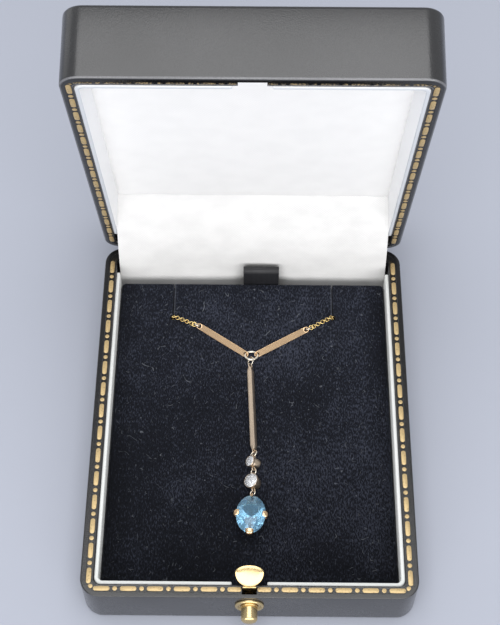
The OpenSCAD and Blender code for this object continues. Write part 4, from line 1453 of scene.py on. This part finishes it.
class NECKLACE_OT_stage(bpy.types.Operator):
    """Set the floor, the soft lights and the camera"""

    bl_idname = "necklace.stage"
    bl_label = "Stage"

    def execute(self, context):
        clear()
        bpy.ops.mesh.primitive_plane_add(size=40, location=(0, 0, 0))
        floor = bpy.context.object
        floor.name = "studio_floor"
        m, tree, shader, where = begin("Pale Floor", (0.5, 0.54, 0.64), 0.9, Specular_IOR_Level=0.1)
        cloud = noise(tree, where, 2.0)
        feed(tree, shader, Base_Color=ramp(
            tree, cloud, (0.3, (0.419, 0.441, 0.509)), (0.7, (0.426, 0.448, 0.516))))
        floor.data.materials.append(m)
        for name, at, aim, width, height, power in LIGHTS:
            lamp = bpy.data.lights.new(name, "AREA")
            lamp.shape, lamp.size, lamp.size_y = "RECTANGLE", width, height
            lamp.energy = power
            obj = bpy.data.objects.new(name, lamp)
            bpy.context.collection.objects.link(obj)
            obj.location = at
            obj.rotation_euler = (Vector(aim) - Vector(at)).to_track_quat("-Z", "Y").to_euler()
        world = bpy.data.worlds.new("studio")
        world.use_nodes = True
        sky = world.node_tree.nodes["Background"].inputs
        sky["Color"].default_value, sky["Strength"].default_value = WORLD_COLOUR, WORLD_STRENGTH
        context.scene.world = world
        context.scene.view_settings.view_transform = "Standard"
        camera = bpy.data.objects.new("camera", bpy.data.cameras.new("camera"))
        bpy.context.collection.objects.link(camera)
        camera.data.lens = LENS
        camera.data.sensor_width = 36
        camera.data.clip_start = 0.01
        camera.location = CAMERA_AT
        camera.rotation_euler = (math.radians(90 - CAMERA_DOWN), 0, math.radians(CAMERA_TURN))
        context.scene.camera = camera
        return {"FINISHED"}


OPERATORS = (
    NECKLACE_OT_stage, NECKLACE_OT_case_shells, NECKLACE_OT_tooling, NECKLACE_OT_linings, NECKLACE_OT_velvet_pad,
    NECKLACE_OT_satin_cover, NECKLACE_OT_lid_cushion, NECKLACE_OT_fastening, NECKLACE_OT_side_bars,
    NECKLACE_OT_chains, NECKLACE_OT_drop_bar, NECKLACE_OT_diamonds, NECKLACE_OT_blue_stone,
)


class NECKLACE_PT_panel(bpy.types.Panel):
    """Lists the settings and the steps that model the necklace and its box"""

    bl_label = "Necklace and Box"
    bl_idname = "NECKLACE_PT_panel"
    bl_space_type = "VIEW_3D"
    bl_region_type = "UI"
    bl_category = "Necklace"

    def draw(self, context):
        for group in (context.scene.necklace_case, context.scene.necklace_jewel):
            for name in group.bl_rna.properties.keys():
                if name not in {"rna_type", "name"}:
                    self.layout.prop(group, name)
        for operator in OPERATORS:
            self.layout.operator(operator.bl_idname)


CLASSES = (CaseSettings, NecklaceSettings, *OPERATORS, NECKLACE_PT_panel)


def register():
    for c in CLASSES:
        bpy.utils.register_class(c)
    bpy.types.Scene.necklace_case = bpy.props.PointerProperty(type=CaseSettings)
    bpy.types.Scene.necklace_jewel = bpy.props.PointerProperty(type=NecklaceSettings)


def unregister():
    del bpy.types.Scene.necklace_jewel
    del bpy.types.Scene.necklace_case
    for c in reversed(CLASSES):
        bpy.utils.unregister_class(c)


def main():
    register()
    make_finishes(bpy.context.scene.necklace_case, bpy.context.scene.necklace_jewel)
    for step in OPERATORS:
        group, name = step.bl_idname.split(".")
        getattr(getattr(bpy.ops, group), name)()


if __name__ == "__main__":
    main()
